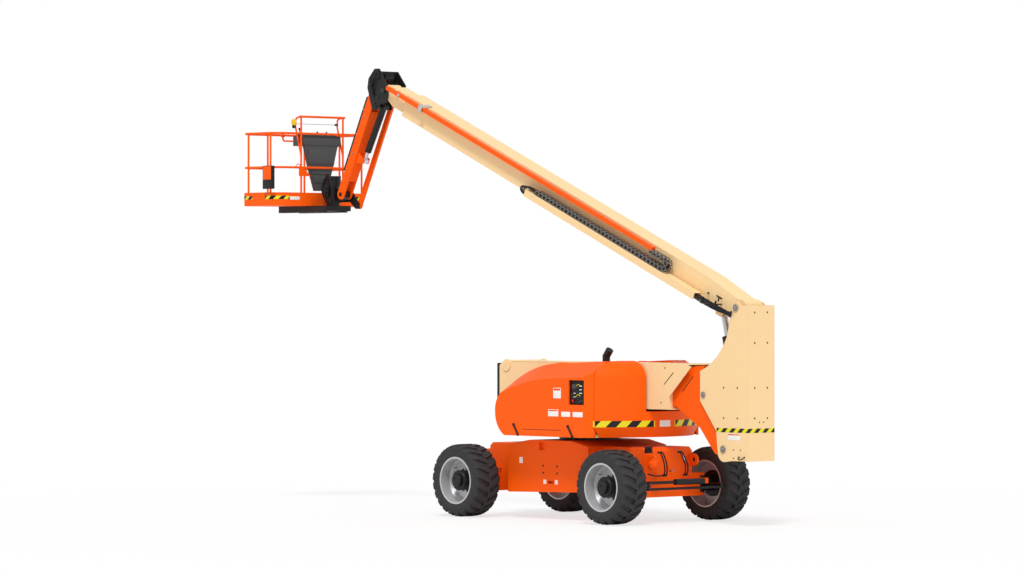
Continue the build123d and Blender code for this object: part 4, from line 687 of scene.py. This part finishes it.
# ---- steered end ------------------------------------------------------------------------------
end_x = -1.795                # outer face of the chassis' end plate
for name, top_y, low_y in (("near", 0.366, 0.28), ("far", -0.013, -0.12)):
    for k, shift in enumerate((0.0, 0.045)):
        hose(f"steer_hose_{name}_{k}", "chassis", (
            (end_x + 0.004, top_y - shift, 0.99), (end_x - 0.035, top_y - shift, 1.0),
            (end_x - 0.062, top_y - shift - 0.02, 0.93), (end_x - 0.045, low_y - shift, 0.8),
            (end_x - 0.04, low_y - shift, 0.72), (end_x - 0.03, low_y - shift, 0.67),
            (end_x + 0.004, low_y - shift, 0.665)), hose_radius)
hose("steer_hose_cross", "chassis", (
    (end_x + 0.004, 0.24, 0.69), (end_x - 0.03, 0.3, 0.67), (end_x - 0.045, 0.4, 0.66),
    (end_x - 0.04, 0.52, 0.672), (end_x + 0.004, 0.57, 0.7)), hose_radius)
block = Shape()
block.box((end_x - 0.028, 0.58, 1.03), (0.06, 0.1, 0.09), bevel=0.005)
for z in (1.015, 1.045):
    block.rod((end_x - 0.055, 0.58, z), (end_x - 0.08, 0.58, z), 0.015, 16)
for y, z in ((0.366, 0.99), (0.321, 0.99), (-0.013, 0.99), (-0.058, 0.99), (0.28, 0.667), (0.235, 0.667),
             (-0.12, 0.667), (-0.165, 0.667)):
    block.turned((end_x - 0.001, y, z), (end_x - 0.02, y, z),
                 ((0, 0.018), (0.014, 0.018), (0.018, 0.013)), 6)
block.done("valve_block_steer", "chassis", "black_paint", BLACK)
Shape().rod((end_x + 0.002, 0.148, 0.732), (end_x - 0.05, 0.148, 0.732), 0.014, 16).rod(
    (end_x + 0.002, 0.1, 0.76), (end_x - 0.03, 0.1, 0.76), 0.01, 16).done(
    "plugs_steer", "chassis", "chromed_rod", STEEL)
Shape().box((end_x - 0.0005, -0.13, 0.905), (0.0024, 0.03, 0.1), bevel=0.0006).done(
    "label_steer_end", "chassis", "cream_paint", LABEL)
boss_y, boss_z = 0.474, 0.836
boss = Shape().rod((end_x + 0.002, boss_y, boss_z), (end_x - 0.022, boss_y, boss_z), 0.078, 40)
boss.rod((end_x - 0.02, boss_y, boss_z), (end_x - 0.034, boss_y, boss_z), 0.045, 32)
for k in range(6):
    a = pi * k / 3
    boss.bolt((end_x - 0.022, boss_y + 0.061 * cos(a), boss_z + 0.061 * sin(a)), (-1, 0, 0), 0.009, False)
boss.done("boss_steer_end", "chassis", "orange_paint", ORANGE)

# ---- jib head, jib and rotator -------------------------------------------------------------------
for k, route in enumerate((
        ((4.58, 0.172, 6.15), (4.62, 0.19, 6.25), (4.61, 0.2, 6.38), (4.55, 0.2, 6.47), (4.47, 0.2, 6.515),
         (4.42, 0.19, 6.48), (4.42, 0.172, 6.43)),
        ((4.55, 0.172, 6.12), (4.59, 0.195, 6.22), (4.58, 0.2, 6.34), (4.52, 0.2, 6.42), (4.45, 0.19, 6.42),
         (4.44, 0.172, 6.37)))):
    hose(f"head_hose_{k}", "jib_head", route, 0.009)
valve = Shape().box((4.42, 0.02, 6.41), (0.11, 0.16, 0.06), bevel=0.006)
for y in (-0.03, 0.01, 0.05):
    valve.rod((4.42, y, 6.43), (4.42, y, 6.465), 0.014, 16)
valve.done("valve_head", "jib_head", "black_paint", BLACK)
bits = Shape()
for x, z, size in ((4.347, 6.206, 0.03), (JIB_X, JIB_Z, 0.026), (4.47, 6.1, 0.012), (4.56, 6.02, 0.012),
                   (4.5, 6.4, 0.012)):
    bits.bolt((x, 0.175, z), (0, 1, 0), size)
bits.done("bolts_head", "jib_head", "bare_iron", IRON)
Shape().box(on_jib(0.86, 0.0925, 0.0), (1.22, 0.166, 0.036), jib_turn, 0.004).done(
    "hose_cover_jib", "jib_arm", "black_plastic", DARK)
clips = Shape()
for u in (0.45, 0.85, 1.25):
    clips.box(on_jib(u, 0.0925, 0), (0.03, 0.17, 0.04), jib_turn, 0.004)
for u in (0.55, 1.15):
    clips.bolt(on_jib(u, 0.02, 0.085), (0, 1, 0), 0.01)
clips.done("clips_jib", "jib_arm", "silver_paint", STEEL)
rotate_x = 5.72               # axis on which the platform turns
for k in range(5):
    reach, tall, y = 0.115 + 0.012 * k, 4.99 - 0.03 * k, 0.125 + 0.008 * (k % 3)
    hose(f"rotator_hose_{k}", "rotator", [
        (rotate_x + out * reach, hose_y, hose_z) for out, hose_y, hose_z in (
            (-0.8, 0.1, 4.56), (-1, y, 4.62), (-1, y, 4.85), (-0.6, y, tall), (0.3, y - 0.02, tall),
            (0.9, y - 0.03, 4.86), (1, y - 0.04, 4.68), (0.09 / reach, 0.05, 4.56))], hose_radius)
valve_x, valve_z = rotate_x - 0.02, 4.72
block = Shape().box((valve_x, 0.125, valve_z), (0.09, 0.05, 0.16), bevel=0.005)
for z in (valve_z - 0.05, valve_z, valve_z + 0.05):
    block.rod((valve_x, 0.148, z), (valve_x, 0.172, z), 0.014, 16)
block.done("valve_rotator", "rotator", "black_paint", BLACK)

# ---- platform --------------------------------------------------------------------------------------
toe_low, toe_high = 4.607, 4.66
deck_x0, deck_x1, deck_y, deck_cut = 5.96, 6.87, 0.915, 0.145
jib_corner = ((deck_x0, 0.66), (deck_x0, deck_y - deck_cut), (deck_x0 + deck_cut, deck_y), (6.22, deck_y))
entry_corner = ((deck_x1, 0.66), (deck_x1, deck_y - deck_cut), (deck_x1 - deck_cut, deck_y), (6.53, deck_y))
for name, path in (
        ("near_jib", jib_corner[::-1]), ("far_jib", [(x, -y) for x, y in jib_corner]),
        ("near_entry", entry_corner), ("far_entry", [(x, -y) for x, y in entry_corner[::-1]])):
    band("tape_" + name, "platform", path, toe_low, toe_high, TAPE_FINE)
Shape().box((deck_x0 - 0.0003, 0.548, 4.625), (0.0024, 0.186, 0.05), bevel=0.0006).done(
    "label_platform", "platform", "cream_paint", LABEL)
Shape().rod((6.12, 0.4235, 5.775), (6.12, 0.45, 5.775), 0.056, 40, 0.006).done(
    "beacon_disc", "platform", "cream_paint", YELLOW)
wire = Shape().rod((6.116, 0.4, 5.755), (6.116, -0.4, 5.755), 0.003, 12)
wire.box((6.116, -0.39, 5.755), (0.03, 0.05, 0.03), bevel=0.004)
wire.box((6.12, 0.44, 5.712), (0.05, 0.03, 0.05), bevel=0.006)
wire.done("bar_wire", "platform", "black_plastic", DARK)
case = Shape().box((6.1, 0.945, 4.935), (0.22, 0.062, 0.35), bevel=0.01)
case.done("document_case", "platform", "black_plastic", DARK)
Shape().box((6.1, 0.976, 5.0), (0.19, 0.006, 0.2), bevel=0.002).done(
    "document_case_lid", "platform", "orange_paint", ORANGE)
gusset = [(5.962, y, z) for y, z in ((0.47, 5.1), (0.47, 4.96), (0.24, 4.96), (0.36, 5.07))]
Shape().sheet(gusset, 0.005).done("gusset_platform", "platform", "orange_paint", ORANGE)
hose("loop_platform", "platform", (
    (5.972, 0.52, 5.1), (5.96, 0.52, 5.15), (5.96, 0.45, 5.16), (5.972, 0.43, 5.1)),
    0.007, ORANGE)
console_x, console_z = 6.12, 5.58     # middle of the sloped panel, top of the console's desk
tray = Shape()
tray.box((console_x - 0.016, 0, console_z - 0.012), (0.2, 0.74, 0.018), bevel=0.005)
tray.box((console_x, 0, console_z + 0.002), (0.15, 0.68, 0.022), Matrix.Rotation(radians(-5), 3, "Y"),
         0.005)
for z, wide, tall in ((5.49, 0.72, 0.11), (5.27, 0.5, 0.24), (5.02, 0.38, 0.05), (4.92, 0.3, 0.11)):
    tray.box((5.995, 0, z), (0.012, wide, tall), bevel=0.004)
tray.done("console_panels", "platform", "grey_plastic", GREY)
sticks = Shape()
for y, tall in ((0.33, 0.11), (-0.02, 0.06), (-0.2, 0.06)):
    sticks.turned((console_x, y, console_z + 0.006), (console_x, y, console_z + 0.12), (
        (0, 0.026), (0.01, 0.022), (0.018, 0.018), (0.026, 0.012), (0.03, 0.006), (tall * 0.6, 0.006),
        (tall * 0.66, 0.013), (tall * 0.95, 0.015), (tall, 0.008)), 24)
for k in range(9):
    y = -0.3 + 0.062 * k
    if abs(y + 0.02) > 0.03 and abs(y + 0.2) > 0.03:
        sticks.rod((console_x - 0.06, y, console_z),
                   (console_x - 0.06, y, console_z + 0.023), 0.009, 14)
sticks.done("console_sticks", "platform", "black_plastic", DARK)
stop_x = console_x + 0.02
Shape().rod((stop_x, 0.16, console_z + 0.008), (stop_x, 0.16, console_z + 0.032), 0.02, 24, 0.005).done(
    "console_stop", "platform", "orange_paint", RED)
